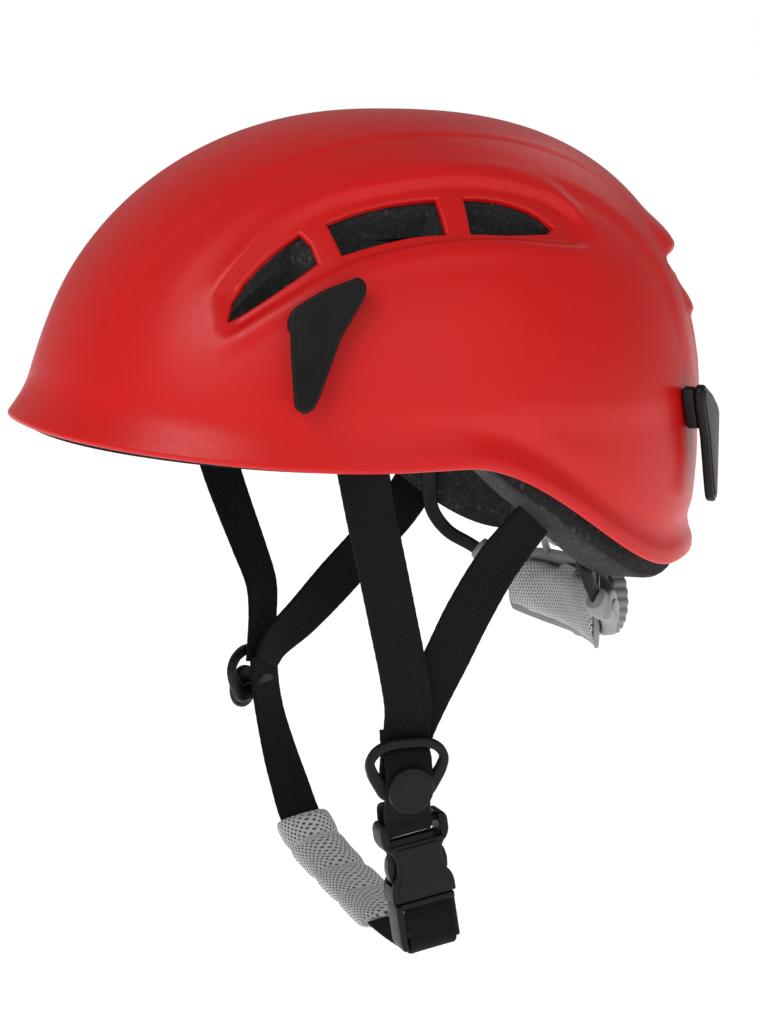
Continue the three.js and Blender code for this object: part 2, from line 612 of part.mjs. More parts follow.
// ---------------------------------------------------------------- nape cradle
// Points on upright cylinders round the back of the head; turn 0 is the middle of the back.
const behind = (turn, z, radius) =>
  v(radius * Math.sin(degToRad(turn)), BAND_CENTRE_Y + radius * Math.cos(degToRad(turn)), z);
const PLATE = { inner: 86, outer: 88.4, turn: 31, half: 17 };
const NAPE_PAD = { thickness: 5, turn: 32, middleHalf: 14.5, endHalf: 11 };
const HOUSING = { inner: 88.7, outer: 95.6, turn: 39, half: 11, endHalf: 5.5, endRise: 9 };
const housingRise = (turn) => HOUSING.endRise * smoothstep(Math.abs(turn), 20, HOUSING.turn);

function cradleFrame() {
  const sheet = slab((turn, z, r) => behind(turn, CRADLE_HEIGHT + 1 + z, r), [-PLATE.turn, PLATE.turn, 12],
    [-PLATE.half, PLATE.half, 2], [PLATE.inner, PLATE.outer]);
  const across = v(1, 0, 0);
  const stem = ribbon([
    [v(0, 83.2, -154), across], [v(0, 86, -143), across], [v(0, 92, -124), across], [v(0, 98, -104), across],
    [v(0, 99.4, -96), across],
  ], 7, 2.6, 10);
  const leg = ribbon([
    [v(1, 83.6, -151), v(0, 0, 1)], [v(9, 84.4, -152.5), v(0, 0, 1)], [v(18, 87.2, -156.4), v(0.4, 0, 1)],
    [v(24, 91.6, -162.6), v(0.7, 0, 1)],
  ], 5.4, 2.8, 10);
  const eye = new THREE.CylinderGeometry(3.4, 3.4, 7, 24).rotateZ(Math.PI / 2).translate(...CRADLE_PIVOT.toArray());
  const eyeHole = new THREE.CylinderGeometry(1.8, 1.8, 9, 24).rotateZ(Math.PI / 2).translate(...CRADLE_PIVOT.toArray());
  return cut(join(sheet, stem, leg, mirrored(leg), eye), eyeHole);
}

function ratchetHousing() {
  const bandPoint = (turn, share, r) => {
    const half = lerp(HOUSING.half, HOUSING.endHalf, smoothstep(Math.abs(turn), 12, HOUSING.turn));
    return behind(turn, CRADLE_HEIGHT + housingRise(turn) + share * half, r);
  };
  const band = slab(bandPoint, [-HOUSING.turn, HOUSING.turn, 20], [-1, 1, 2], [HOUSING.inner, HOUSING.outer]);
  const boss = axleCylinder(WHEEL.radius - 1, 97.5, 103.8, CRADLE_HEIGHT);
  const channel = slab((turn, z, r) => behind(turn, CRADLE_HEIGHT + z, r), [-32.5, 32.5, 16], [-9.2, 9.2, 1],
    [80, RACK.radius + RACK.thickness / 2 + 0.8]);
  const sleeve = slab((turn, z, r) => behind(turn, CRADLE_HEIGHT + housingRise(turn) + z, r), [31, 42, 5], [-4.6, 4.6, 1],
    [RACK.radius - 1.3, RACK.radius + 1.3]);
  const bore = axleCylinder(3, 90, 110, CRADLE_HEIGHT);
  return cut(join(band, boss), channel, sleeve, mirrored(sleeve), bore);
}

function napePad() {
  const { thickness, turn, middleHalf, endHalf } = NAPE_PAD;
  const half = (t) => lerp(middleHalf, endHalf, (t / turn) ** 2);
  const point = (t, share, r) => behind(t, CRADLE_HEIGHT + 0.5 + share * half(t), r);
  return slab(point, [-turn, turn, 12], [-1, 1, 2], [PLATE.inner - GAP - thickness, PLATE.inner - GAP]);
}

function gear(radius, teeth, y0, y1) {
  const shape = new THREE.Shape();
  for (let i = 0; i < teeth * 4; i += 1) {
    const angle = (i / (teeth * 4)) * 2 * Math.PI;
    const r = i % 4 < 2 ? radius : radius - 0.9;
    if (i === 0) shape.moveTo(r * Math.cos(angle), r * Math.sin(angle));
    else shape.lineTo(r * Math.cos(angle), r * Math.sin(angle));
  }
  return new THREE.ExtrudeGeometry(shape, { depth: y1 - y0, bevelEnabled: false }).rotateX(-Math.PI / 2)
    .translate(0, y0, CRADLE_HEIGHT);
}

function pinion() {
  const body = join(gear(4, 10, 96.9, 100.6), axleCylinder(2.5, 100.5, 109, CRADLE_HEIGHT, 24));
  return cut(body, axleCylinder(1.5, 90, 115, CRADLE_HEIGHT, 24));
}

function adjusterWheel() {
  const outline = new THREE.Shape();
  const steps = WHEEL.lobes * 4;
  for (let i = 0; i < steps; i += 1) {
    const angle = (i / steps) * 2 * Math.PI;
    const r = WHEEL.radius - 0.5 + 0.5 * Math.cos(WHEEL.lobes * angle);
    if (i === 0) outline.moveTo(r * Math.cos(angle), r * Math.sin(angle));
    else outline.lineTo(r * Math.cos(angle), r * Math.sin(angle));
  }
  const disc = new THREE.ExtrudeGeometry(outline, { depth: WHEEL.rear - WHEEL.front, bevelEnabled: false })
    .rotateX(-Math.PI / 2).translate(0, WHEEL.front, CRADLE_HEIGHT);
  const bore = axleCylinder(2.5 + GAP, 100, 115, CRADLE_HEIGHT, 24);
  const counterbore = axleCylinder(6.2, 109.3, 115, CRADLE_HEIGHT, 24);
  return cut(disc, bore, counterbore);
}

function axleScrew() {
  return join(axleCylinder(1.2, 97.2, 109.8, CRADLE_HEIGHT, 20), axleCylinder(4, 109.5, 110.9, CRADLE_HEIGHT, 24));
}

const wheelCap = () => axleCylinder(5.9, 111.2, 112.4, CRADLE_HEIGHT, 28);

function detentRing() {
  return cut(axleCylinder(14.5, 104.1, 104.7, CRADLE_HEIGHT), axleCylinder(11.5, 103, 106, CRADLE_HEIGHT));
}

// side 1 is the wearer's left; its rack runs above the pinion, the other one below.
function rack(side) {
  const level = CRADLE_HEIGHT + side * RACK.level;
  const bar = slab((turn, z, r) => behind(side * turn, level + z, r), [RACK.start, RACK.end, 16],
    [-RACK.height / 2, RACK.height / 2, 1], [RACK.radius - RACK.thickness / 2, RACK.radius + RACK.thickness / 2]);
  return bar;
}

const CRADLE_ARM_ROUTES = {
  left: [
    [v(50.9, 83.4, -172.5), v(0, 0, 1)], [v(57.9, 78.2, -170.8), v(0, 0.1, 1)], [v(62.6, 72.5, -163.5), v(-0.3, 0.7, 1)],
    [v(66, 66.5, -152), v(-0.5, 1, 0.5)], [v(68.3, 60.2, -136), v(-0.65, 1, 0.2)], [v(70.5, 54, -118), v(-0.7, 1, 0)],
    [v(71.5, 51, -108), v(-0.7, 1, 0)],
  ],
  right: [
    [v(-50.9, 83.4, -172.5), v(0, 0, 1)], [v(-57.9, 78.2, -170.8), v(0, 0.1, 1)], [v(-64, 71.5, -166), v(0.2, 0.4, 1)],
    [v(-69.6, 62.5, -160), v(0.3, 0.7, 1)], [v(-71.6, 55.8, -150), v(0.5, 1, 0.7)], [v(-71.2, 54.4, -137), v(0.6, 1, 0.3)],
    [v(-70.5, 54, -118), v(0.7, 1, 0)], [v(-71.5, 51, -108), v(0.7, 1, 0)],
  ],
};

const cradleArm = (route) => ribbon(route, 7.4, 1.6, 20);

// A block on the cavity wall with a pocket that holds the upper end of a cradle arm.
function templeAnchor() {
  const point = (d, z, depth) => polar(d, cavityRadius(d, CAVITY.widest) - depth, z);
  const block = slab(point, [120, 132, 4], [-114, -98, 1], [GAP, 7]);
  const route = CRADLE_ARM_ROUTES.left;
  const pocket = ribbon([straightOn(route.at(-2), route.at(-1), 0.6), route.at(-2), route.at(-3)], 8.2, 2.6, 6);
  return cut(block, pocket);
}

function yokeAnchor() {
  const back = slab((d, z, depth) => polar(d, cavityRadius(d, CAVITY.widest) - depth, z), [174.5, 185.5, 4],
    [-112, -84, 1], [GAP, 5]);
  const lug = box(3, 14, 10, v(6, 99, CRADLE_PIVOT.z));
  const bore = new THREE.CylinderGeometry(1.8, 1.8, 30, 24).rotateZ(Math.PI / 2).translate(...CRADLE_PIVOT.toArray());
  return cut(join(back, lug, mirrored(lug)), bore);
}

const yokePin = () =>
  new THREE.CylinderGeometry(1.5, 1.5, 15.4, 20).rotateZ(Math.PI / 2).translate(...CRADLE_PIVOT.toArray());

// ---------------------------------------------------------------- assembly
const helmet = new THREE.Group();

function add(name, geometry, look) {
  const mesh = new THREE.Mesh(geometry, look);
  mesh.name = name;
  helmet.add(mesh);
}

add('outer_shell', outerShell(), RED_SHELL);
add('foam_liner', foamLiner(), FOAM);
add('brow_pad', wallPad([-42, 42], [-86, -62]), DARK_PAD);
add('side_pad_left', wallPad([72, 106], [-84, -60]), DARK_PAD);
add('side_pad_right', wallPad([254, 288], [-84, -60]), DARK_PAD);
add('crown_pad', crownPad(), DARK_PAD);

for (const [end, frame] of Object.entries(CLIP_FRAMES)) {
  const base = clipBase(frame);
  const lever = clipLever(frame);
  add(`clip_base_${end}_left`, base, BLACK_PLASTIC);
  add(`clip_base_${end}_right`, mirrored(base), BLACK_PLASTIC);
  add(`clip_lever_${end}_left`, lever, BLACK_PLASTIC);
  add(`clip_lever_${end}_right`, mirrored(lever), BLACK_PLASTIC);
}

for (const [corner, route] of Object.entries(STRAP_ROUTES)) {
  add(`strap_anchor_${corner}`, strapAnchor(route), BLACK_PLASTIC);
  add(`strap_${corner}`, strap(route), WEBBING_BLACK);
}
add('buckle_strap', ribbon(BUCKLE_STRAP_ROUTE, WEBBING.width, WEBBING.thickness, 10), WEBBING_BLACK);
add('chin_strap', ribbon(CHIN_STRAP_ROUTE, WEBBING.width, WEBBING.thickness, 44), WEBBING_BLACK);
add('chin_pad', chinPad(), GREY_MESH);

for (const [side, place] of Object.entries(DIVIDER_PLACES)) {
  add(`strap_divider_${side}`, moved(dividerRing(), place), BLACK_PLASTIC);
  add(`divider_disc_${side}`, moved(dividerDisc(), place), BLACK_PLASTIC);
}

add('buckle_socket', buckleSocket(), BLACK_PLASTIC);
add('buckle_plug', bucklePlug(), BLACK_PLASTIC);
add('buckle_prong_front', prong(-1), BLACK_PLASTIC);
add('buckle_prong_rear', prong(1), BLACK_PLASTIC);

add('cradle_frame', cradleFrame(), GREY_PLASTIC);
add('nape_pad', napePad(), GREY_MESH);
add('ratchet_housing', ratchetHousing(), GREY_PLASTIC);
add('detent_ring', detentRing(), STEEL);
add('rack_left', rack(1), BLACK_PLASTIC);
add('rack_right', rack(-1), BLACK_PLASTIC);
add('pinion', pinion(), BLACK_PLASTIC);
add('adjuster_wheel', adjusterWheel(), GREY_PLASTIC);
add('axle_screw', axleScrew(), STEEL);
add('wheel_cap', wheelCap(), GREY_PLASTIC);
add('cradle_arm_left', cradleArm(CRADLE_ARM_ROUTES.left), BLACK_PLASTIC);
add('cradle_arm_right', cradleArm(CRADLE_ARM_ROUTES.right), BLACK_PLASTIC);
add('temple_anchor_left', templeAnchor(), BLACK_PLASTIC);
add('temple_anchor_right', mirrored(templeAnchor()), BLACK_PLASTIC);
add('yoke_anchor', yokeAnchor(), BLACK_PLASTIC);
add('yoke_pin', yokePin(), STEEL);

export default helmet;
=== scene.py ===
"""Climbing helmet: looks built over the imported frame. Millimetres in the tables, metres in the meshes.

The front is towards -Y and the wearer's left towards +X, as in the frame.
"""

import math

import bmesh
import bpy
import numpy as np
from mathutils import Matrix, Vector


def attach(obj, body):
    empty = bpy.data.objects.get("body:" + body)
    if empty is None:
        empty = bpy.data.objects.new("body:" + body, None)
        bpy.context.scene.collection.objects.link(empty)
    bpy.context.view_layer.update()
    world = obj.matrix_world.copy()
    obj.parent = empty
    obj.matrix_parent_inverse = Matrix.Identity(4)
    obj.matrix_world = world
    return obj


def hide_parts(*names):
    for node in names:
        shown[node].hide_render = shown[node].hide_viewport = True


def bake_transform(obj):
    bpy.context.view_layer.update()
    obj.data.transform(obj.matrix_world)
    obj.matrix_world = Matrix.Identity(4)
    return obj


MM = 0.001
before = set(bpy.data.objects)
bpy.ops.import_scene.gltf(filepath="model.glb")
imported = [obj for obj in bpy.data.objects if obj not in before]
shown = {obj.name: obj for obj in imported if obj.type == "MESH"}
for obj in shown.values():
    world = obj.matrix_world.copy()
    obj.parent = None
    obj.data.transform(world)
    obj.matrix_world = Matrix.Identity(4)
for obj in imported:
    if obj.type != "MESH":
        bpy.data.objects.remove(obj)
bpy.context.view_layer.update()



def in_scene(name, data):
    obj = bpy.data.objects.new(name, data)
    bpy.context.scene.collection.objects.link(obj)
    return obj


# ------------------------------------------------------------------ camera
CAMERA = {"azimuth": 69.2, "elevation": 9.7, "distance": 1.1, "target": (0, 0.0034, -0.1344),
          "lens": 93.2}


def add_camera():
    data = bpy.data.cameras.new("camera")
    data.sensor_fit = "AUTO"
    data.sensor_width = 36
    data.lens = CAMERA["lens"]
    data.clip_start, data.clip_end = 0.05, 20
    camera = in_scene("camera", data)
    a, e = math.radians(CAMERA["azimuth"]), math.radians(CAMERA["elevation"])
    back = Vector((math.sin(a) * math.cos(e), -math.cos(a) * math.cos(e), math.sin(e)))
    camera.location = Vector(CAMERA["target"]) + back * CAMERA["distance"]
    camera.rotation_mode = "QUATERNION"
    camera.rotation_quaternion = (-back).to_track_quat("-Z", "Y")
    bpy.context.scene.camera = camera


add_camera()


# ------------------------------------------------------------------ small tools
def smooth(x, low, high):
    t = np.clip((np.asarray(x, float) - low) / (high - low), 0, 1)
    return t * t * (3 - 2 * t)


def curve_through(points, at):
    """A smooth curve through (t, value) pairs, read at the given t; held level past its ends."""
    points = np.array(points, float)
    t, value = points[:, 0], points[:, 1]
    slope = np.gradient(value, t)
    at = np.clip(np.asarray(at, float), t[0], t[-1])
    k = np.clip(np.searchsorted(t, at, side="right") - 1, 0, len(t) - 2)
    width = t[k + 1] - t[k]
    u = (at - t[k]) / width
    h00, h10 = 2 * u**3 - 3 * u**2 + 1, u**3 - 2 * u**2 + u
    h01, h11 = -2 * u**3 + 3 * u**2, u**3 - u**2
    return h00 * value[k] + h10 * width * slope[k] + h01 * value[k + 1] + h11 * width * slope[k + 1]


def polygon_distance(x, y, corners):
    """Signed distance from points to a closed polygon, negative inside."""
    corners = np.array(corners, float)
    nearest = np.full(np.shape(x), 1e9)
    inside = np.zeros(np.shape(x), bool)
    for (ax, ay), (bx, by) in zip(corners, np.roll(corners, -1, axis=0)):
        dx, dy = bx - ax, by - ay
        t = np.clip(((x - ax) * dx + (y - ay) * dy) / (dx * dx + dy * dy), 0, 1)
        nearest = np.minimum(nearest, np.hypot(x - ax - t * dx, y - ay - t * dy))
        crosses = (ay > y) != (by > y)
        with np.errstate(divide="ignore", invalid="ignore"):
            left = x < (bx - ax) * (y - ay) / (by - ay) + ax
        inside ^= crosses & left
    return np.where(inside, -nearest, nearest)


def unit(v):
    return v / np.maximum(np.linalg.norm(v, axis=-1, keepdims=True), 1e-12)


def smoothed(mesh):
    mesh.polygons.foreach_set("use_smooth", [True] * len(mesh.polygons))
    return mesh


def new_mesh(name, points, faces, at_scale=MM):
    mesh = bpy.data.meshes.new(name)
    mesh.from_pydata((np.asarray(points, float) * at_scale).tolist(), [],
                     [list(map(int, face)) for face in faces])
    mesh.validate()
    return in_scene(name, smoothed(mesh))


def apply_modifiers(obj):
    """Replaces the object's mesh by what its modifiers make of it."""
    depsgraph = bpy.context.evaluated_depsgraph_get()
    depsgraph.update()
    mesh = bpy.data.meshes.new_from_object(obj.evaluated_get(depsgraph))
    obj.modifiers.clear()
    obj.data = mesh
    return obj


def sharpen(obj, degrees):
    """Smooth shading, broken along edges that turn by more than this."""
    smoothed(obj.data).set_sharp_from_angle(angle=math.radians(degrees))
    return obj


def facing_out(obj, edit=None):
    """Turns the faces outwards, after one edit of the mesh if one is given."""
    bm = bmesh.new()
    bm.from_mesh(obj.data)
    if edit:
        edit(bm)
    bmesh.ops.recalc_face_normals(bm, faces=bm.faces)
    bm.to_mesh(obj.data)
    bm.free()
    return obj


def clean(obj, distance=2e-5):
    def merge(bm):
        bmesh.ops.remove_doubles(bm, verts=bm.verts, dist=distance)
        bmesh.ops.dissolve_degenerate(bm, dist=1e-6, edges=bm.edges)

    return facing_out(obj, merge)


def rounded(corners, radius, steps=5):
    """The outline with arcs for corners; radius may be one number or one for each corner."""
    radii = radius if hasattr(radius, "__len__") else [radius] * len(corners)
    outline = []
    count = len(corners)
    for i, (corner, r) in enumerate(zip(corners, radii)):
        here = np.array(corner, float)
        before = np.array(corners[i - 1], float) - here
        after = np.array(corners[(i + 1) % count], float) - here
        reach = min(r, 0.45 * np.linalg.norm(before), 0.45 * np.linalg.norm(after))
        start = here + before / np.linalg.norm(before) * reach
        end = here + after / np.linalg.norm(after) * reach
        for k in range(steps + 1):
            t = k / steps
            outline.append((1 - t) ** 2 * start + 2 * t * (1 - t) * here + t * t * end)
    return outline


def moulded(name, outlines, low, high, radius, place=Matrix.Identity(4), segments=3):
    """A flat moulding with rounded edges, from low to high in z.

    The outlines are in local xy; the later ones are holes.
    """
    curve = bpy.data.curves.new(name, "CURVE")
    curve.dimensions = "2D"
    curve.fill_mode = "BOTH"
    curve.extrude = ((high - low) / 2 - radius) * MM
    curve.bevel_depth = radius * MM
    curve.bevel_resolution = segments
    curve.offset = -radius * MM
    for outline in outlines:
        spline = curve.splines.new("POLY")
        spline.points.add(len(outline) - 1)
        for point, (x, y) in zip(spline.points, outline):
            point.co = (x * MM, y * MM, 0, 1)
        spline.use_cyclic_u = True
    holder = in_scene(name, curve)
    bpy.context.view_layer.update()
    mesh = bpy.data.meshes.new_from_object(holder.evaluated_get(bpy.context.evaluated_depsgraph_get()))
    bpy.data.objects.remove(holder)
    lift = Matrix.Translation((0, 0, (low + high) / 2 * MM))
    scaled = place.copy()
    scaled.translation = place.translation * MM
    mesh.transform(scaled @ lift)
    return sharpen(clean(in_scene(name, mesh)), 40)


def subtract(obj, *cutters):
    for cutter in cutters:
        modifier = obj.modifiers.new("cut", "BOOLEAN")
        modifier.operation = "DIFFERENCE"
        modifier.solver = "EXACT"
        modifier.object = cutter
        cutter.hide_render = True
    bpy.context.view_layer.update()
    apply_modifiers(obj)
    for cutter in cutters:
        bpy.data.objects.remove(cutter)
    return obj


def joined(name, *objs):
    """Several meshes as one object."""
    bm = bmesh.new()
    for obj in objs:
        mesh = obj.data.copy()
        mesh.transform(obj.matrix_world)
        bm.from_mesh(mesh)
    mesh = bpy.data.meshes.new(name)
    bm.to_mesh(mesh)
    bm.free()
    for obj in objs:
        bpy.data.objects.remove(obj)
    return in_scene(name, mesh)


def tube_grid(name, rings, closed_ends=True):
    """A tube through rings of equal length, each an array of points in mm."""
    rings = np.array(rings, float)
    count, sides = rings.shape[:2]
    points = rings.reshape(-1, 3).tolist()
    faces = []
    for i in range(count - 1):
        for j in range(sides):
            k = (j + 1) % sides
            faces.append((i * sides + j, i * sides + k, (i + 1) * sides + k, (i + 1) * sides + j))
    if closed_ends:
        for end, order in ((0, -1), (count - 1, 1)):
            faces.append([end * sides + j for j in range(sides)][::order])
    return new_mesh(name, points, faces)


def frame_of(x, y, z, origin):
    place = Matrix.Identity(4)
    for column, axis in enumerate((x, y, z)):
        axis = Vector(axis).normalized()
        for row in range(3):
            place[row][column] = axis[row]
    place.translation = Vector(origin)
    return place


def mirrored_copy(obj, name):
    twin = obj.data.copy()
    twin.transform(Matrix.Scale(-1, 4, (1, 0, 0)))
    twin.flip_normals()
    return in_scene(name, twin)


def catmull_rom(points, steps):
    """A centripetal curve through the points."""
    p = np.array(points, float)
    p = np.vstack([2 * p[0] - p[1], p, 2 * p[-1] - p[-2]])
    chord = np.maximum(np.linalg.norm(np.diff(p, axis=0), axis=1), 1e-9)
    knots = np.concatenate([[0], np.cumsum(chord**0.5)])

    def between(a, b, from_t, to_t, t):
        return (to_t - t) / (to_t - from_t) * a + (t - from_t) / (to_t - from_t) * b

    out = []
    last = len(p) - 3
    for i in range(steps + 1):
        s = i / steps * last
        k = min(int(s), last - 1)
        t0, t1, t2, t3 = knots[k : k + 4]
        t = t1 + (t2 - t1) * (s - k)
        a1 = between(p[k], p[k + 1], t0, t1, t)
        a2 = between(p[k + 1], p[k + 2], t1, t2, t)
        a3 = between(p[k + 2], p[k + 3], t2, t3, t)
        out.append(between(between(a1, a2, t0, t2, t), between(a2, a3, t1, t3, t), t1, t2, t))
    return np.array(out)


def path_frames(route, spacing):
    """Even stops along a route of (centre, width direction): centres, tangents, sides and faces."""
    dense = 40 * (len(route) - 1)
    centre = catmull_rom([c for c, _ in route], dense)
    width = catmull_rom([unit(np.array(w, float)) for _, w in route], dense)
    length = np.concatenate([[0], np.cumsum(np.linalg.norm(np.diff(centre, axis=0), axis=1))])
    stops = np.linspace(0, length[-1], max(int(round(length[-1] / spacing)), 2) + 1)
    centre = np.stack([np.interp(stops, length, centre[:, i]) for i in range(3)], -1)
    width = np.stack([np.interp(stops, length, width[:, i]) for i in range(3)], -1)
    tangent = unit(np.gradient(centre, axis=0))
    side = unit(width - tangent * np.sum(width * tangent, -1, keepdims=True))
    face = np.cross(tangent, side)
    return stops, centre, tangent, side, face


def sweep(centre, side, face, across, up):
    """A ring of points at each stop, at distances to its side and off its face."""
    return centre[:, None] + side[:, None] * across[..., None] + face[:, None] * up[..., None]


def lay_weave(obj, across, along):
    """Stores where each point lies on the fabric, in mm across and along."""
    attribute = obj.data.attributes.new("weave", "FLOAT_VECTOR", "POINT")
    values = np.zeros((len(obj.data.vertices), 3), np.float32)
    values[:, 0] = across
    values[:, 1] = along
    attribute.data.foreach_set("vector", values.ravel())


def webbing(name, route, width=20.0, thickness=1.6, spacing=1.5):
    """A woven strap with rounded, slightly thicker selvedges."""
    stops, centre, _, side, face = path_frames(route, spacing)
    share = np.array([-1, -0.985, -0.93, -0.8, -0.5, 0, 0.5, 0.8, 0.93, 0.985, 1])
    height = np.array([0, 0.62, 1, 0.94, 0.9, 0.88, 0.9, 0.94, 1, 0.62, 0])
    across = np.concatenate([share, share[-2:0:-1]])
    up = np.concatenate([height, -height[-2:0:-1]])
    ripple = 1 + 0.006 * np.sin(stops * 1.9 + centre[:, 2] * 0.7)
    rings = sweep(centre, side, face, across * width / 2 * ripple[:, None], up[None] * thickness / 2)
    obj = tube_grid(name, rings)
    lay_weave(obj, np.tile(across * width / 2, len(stops)), np.repeat(stops, len(across)))
    return obj


# ------------------------------------------------------------------ shell surface
CROWN = 30
RIM = {"front": -89, "side": -100.5, "rear": -151}
CROWN_LIFT = 0.7  # the raised crown's height above CROWN
SHELL_WALL = 3.0
LIP_RADIUS = 1.3
CAVITY = (110, 109, 84, 2.1)  # front, rear, side and power of the liner's hollow
CAVITY_BASE = -60  # the hollow is a dome above this height and upright below it
CAVITY_RISE = 66


def around(front, side, rear, degrees):
    angle = np.radians(degrees)
    middle = (front + rear) / 2
    return ((middle + side) / 2 + (front - rear) / 2 * np.cos(angle)
            + (middle - side) / 2 * np.cos(2 * angle))


def superellipse(front, rear, side, power, degrees):
    angle = np.radians(degrees)
    length = (front + rear) / 2 + (front - rear) / 2 * np.cos(angle)
    total = (np.abs(np.sin(angle)) / side) ** power + (np.abs(np.cos(angle)) / length) ** power
    return total ** (-1 / power)


def rim_height(degrees):
    turn = np.abs((np.asarray(degrees) + 180) % 360 - 180)
    to_side = (RIM["side"] - RIM["front"]) * smooth(turn, 0, 75)
    return RIM["front"] + to_side + (RIM["rear"] - RIM["side"]) * smooth(turn, 88, 146)


def shell_radius(degrees, z):
    widest = around(-111, -100, -110, degrees)
    power = around(2.1, 2.4, 2.6, degrees)
    rise = np.clip((z - widest) / (CROWN - widest), 0, 1)
    dome = superellipse(145, 138, 110, 2.2, degrees) * np.maximum(1 - rise**power, 0) ** (1 / power)
    taper = around(0, 5, 6, degrees) * np.clip((widest - z) / 50, 0, 1) ** 1.5
    flare = around(7, 2.5, 3, degrees) * np.exp(-np.maximum(z - rim_height(degrees), 0) / 9)
    return dome - taper + flare


def polar(degrees, radius, z):
    angle = np.radians(degrees)
    return np.stack([radius * np.sin(angle), -radius * np.cos(angle), z + 0 * angle], -1)


# The side vents lie in one crescent. Places on it are (y, degrees from straight up about its axis).
CRESCENT_AXIS = -90
CRESCENT_TOP = [
    (-100, 58.5), (-86, 51.6), (-67.3, 43.2), (-49.9, 39.7), (-21.3, 38.4), (8.2, 38),
    (34.3, 39.6), (50, 42), (60, 46.5)]
CRESCENT_BOTTOM = [
    (-93, 65), (-72.4, 59.6), (-46.9, 54.2), (-8.6, 51.3), (21.5, 51.1), (45, 51.3), (60, 50.5)]
SIDE_VENTS = [
    [
        (-87.9, 60.8), (-85.4, 55.6), (-81, 51.9), (-74, 48.6), (-66.9, 46), (-58.4, 43.8),
        (-55.6, 47), (-54.2, 52), (-64.4, 54.8), (-75.4, 57.7)],
    [
        (-47.6, 43), (-39, 42.1), (-30.7, 41.5), (-22, 41.1), (-13.3, 41), (-2.9, 41),
        (-2.6, 49.3), (-17.3, 49.4), (-32.6, 50.3), (-44.6, 51.2)],
    [
        (8.6, 41.1), (15, 41.2), (22.2, 41.6), (29, 42.4), (35.7, 43.6), (41, 45.2), (45.5, 47.4),
        (41.8, 49), (32, 49.5), (21.9, 49.7), (7.6, 49.4)],
]
REAR_VENTS = [
    [(7, -28), (30, -28), (54, -29), (57, -31), (51, -35.5), (30, -38.5), (7, -39)],
    [(7, -52.5), (30, -53), (44, -54), (47, -56), (42, -59.5), (26, -62), (7, -63)],
]
ARC = 120 * math.pi / 180  # mm along the wall for one degree about the crescent's axis


def vent_distance(p):
    """Distance to the nearest vent's outline, in mm, negative inside a vent."""
    x, y, z = np.abs(p[..., 0]), p[..., 1], p[..., 2]
    arc = np.degrees(np.arctan2(x, z - CRESCENT_AXIS)) * ARC
    fields = []
    for outline in SIDE_VENTS:
        fields.append(polygon_distance(y, arc, [(a, b * ARC) for a, b in outline]))
    for outline in REAR_VENTS:
        fields.append(np.where(y > 0, polygon_distance(x, z, outline), 99.0))
    return np.minimum.reduce(fields)


RIDGE_UPPER = [
    (-140, 40), (-122, 42.7), (-103, 44.9), (-77, 49.5), (-49, 50), (-21, 50), (7, 52), (35, 52),
    (70, 53), (110, 54)]
RIDGE_LOWER = [
    (-125, 57), (-88, 59.5), (-69, 60), (-44, 62.6), (-17, 65.5), (7, 67.8), (29, 68.7), (60, 68),
    (76, 67.6), (91, 67), (100, 67), (106, 67.7), (113, 65), (140, 60)]


def relief(p):
    """How far the finished surface stands proud of the plain shell, in mm."""
    x, y, z = np.abs(p[..., 0]), p[..., 1], p[..., 2]
    lift = np.zeros(x.shape)
    # the raised crown, bounded by a soft crease each side
    fore = smooth(y, -138, -118)
    lift += 0.7 * smooth(curve_through(RIDGE_UPPER, y) - x, -1.2, 2.4) * fore * smooth(z, -95, -60)
    # the shoulder that falls away outside the second crease
    beyond = x - curve_through(RIDGE_LOWER, y)
    shoulder = smooth(y, -118, -60) * smooth(z, -86, -58)
    lift -= 1.5 * smooth(beyond, -0.8, 6.5) * shoulder * np.exp(-np.maximum(beyond, 0) / 26)
    # crescent round the side vents
    degrees = np.degrees(np.arctan2(x, z - CRESCENT_AXIS))
    top = (degrees - curve_through(CRESCENT_TOP, y)) * ARC
    bottom = (curve_through(CRESCENT_BOTTOM, y) - degrees) * ARC
    ends = smooth(y, -94, -84) * (1 - smooth(y, 50, 63))
    inside = smooth(top, -2.2, 2.0) * smooth(bottom, -2.6, 2.0) * ends
    lift -= 3.1 * inside
    lift += (0.9 * np.exp(-((top + 5.5) / 4.2) ** 2) * ends
             + 0.7 * np.exp(-((bottom + 6) / 4.5) ** 2) * ends)
    # the side panel turns in below a soft fold behind the ear
    fold = smooth(-(z + 83 + 3 * smooth(y, 20, 70)), -5, 9) * smooth(y, -6, 26) * smooth(x, 30, 60)
    lift -= 1.3 * fold
    # crown's trailing lip over the upper rear vents, and the stepped panels below it
    back = smooth(y, 30, 60)
    middle = (1 - smooth(x, 46, 59)) * back
    lift += 3.2 * middle * smooth(-z, 8, 25) * (1 - smooth(-z, 25.5, 30))
    lift -= 1.6 * middle * smooth(-z, 27, 30) * (1 - smooth(-z, 37, 46))
    lift += 1.5 * middle * smooth(-z, 42, 51) * (1 - smooth(-z, 51.5, 54))
    lift -= 2.0 * (1 - smooth(x, 42, 53)) * back * smooth(-z, 52, 54.5) * (1 - smooth(-z, 62, 71))
    # bead along the rim, with a shallow groove above it
    degrees = np.degrees(np.arctan2(p[..., 0], -p[..., 1]))
    above = z - rim_height(degrees)
    rearward = smooth(np.abs(degrees), 55, 105)
    lift -= (0.35 + 1.1 * rearward) * np.exp(-((above - 12.5) / 5.5) ** 2)
    lift += (0.2 + 0.6 * rearward) * np.exp(-((above - 3) / 3.2) ** 2)
    return lift


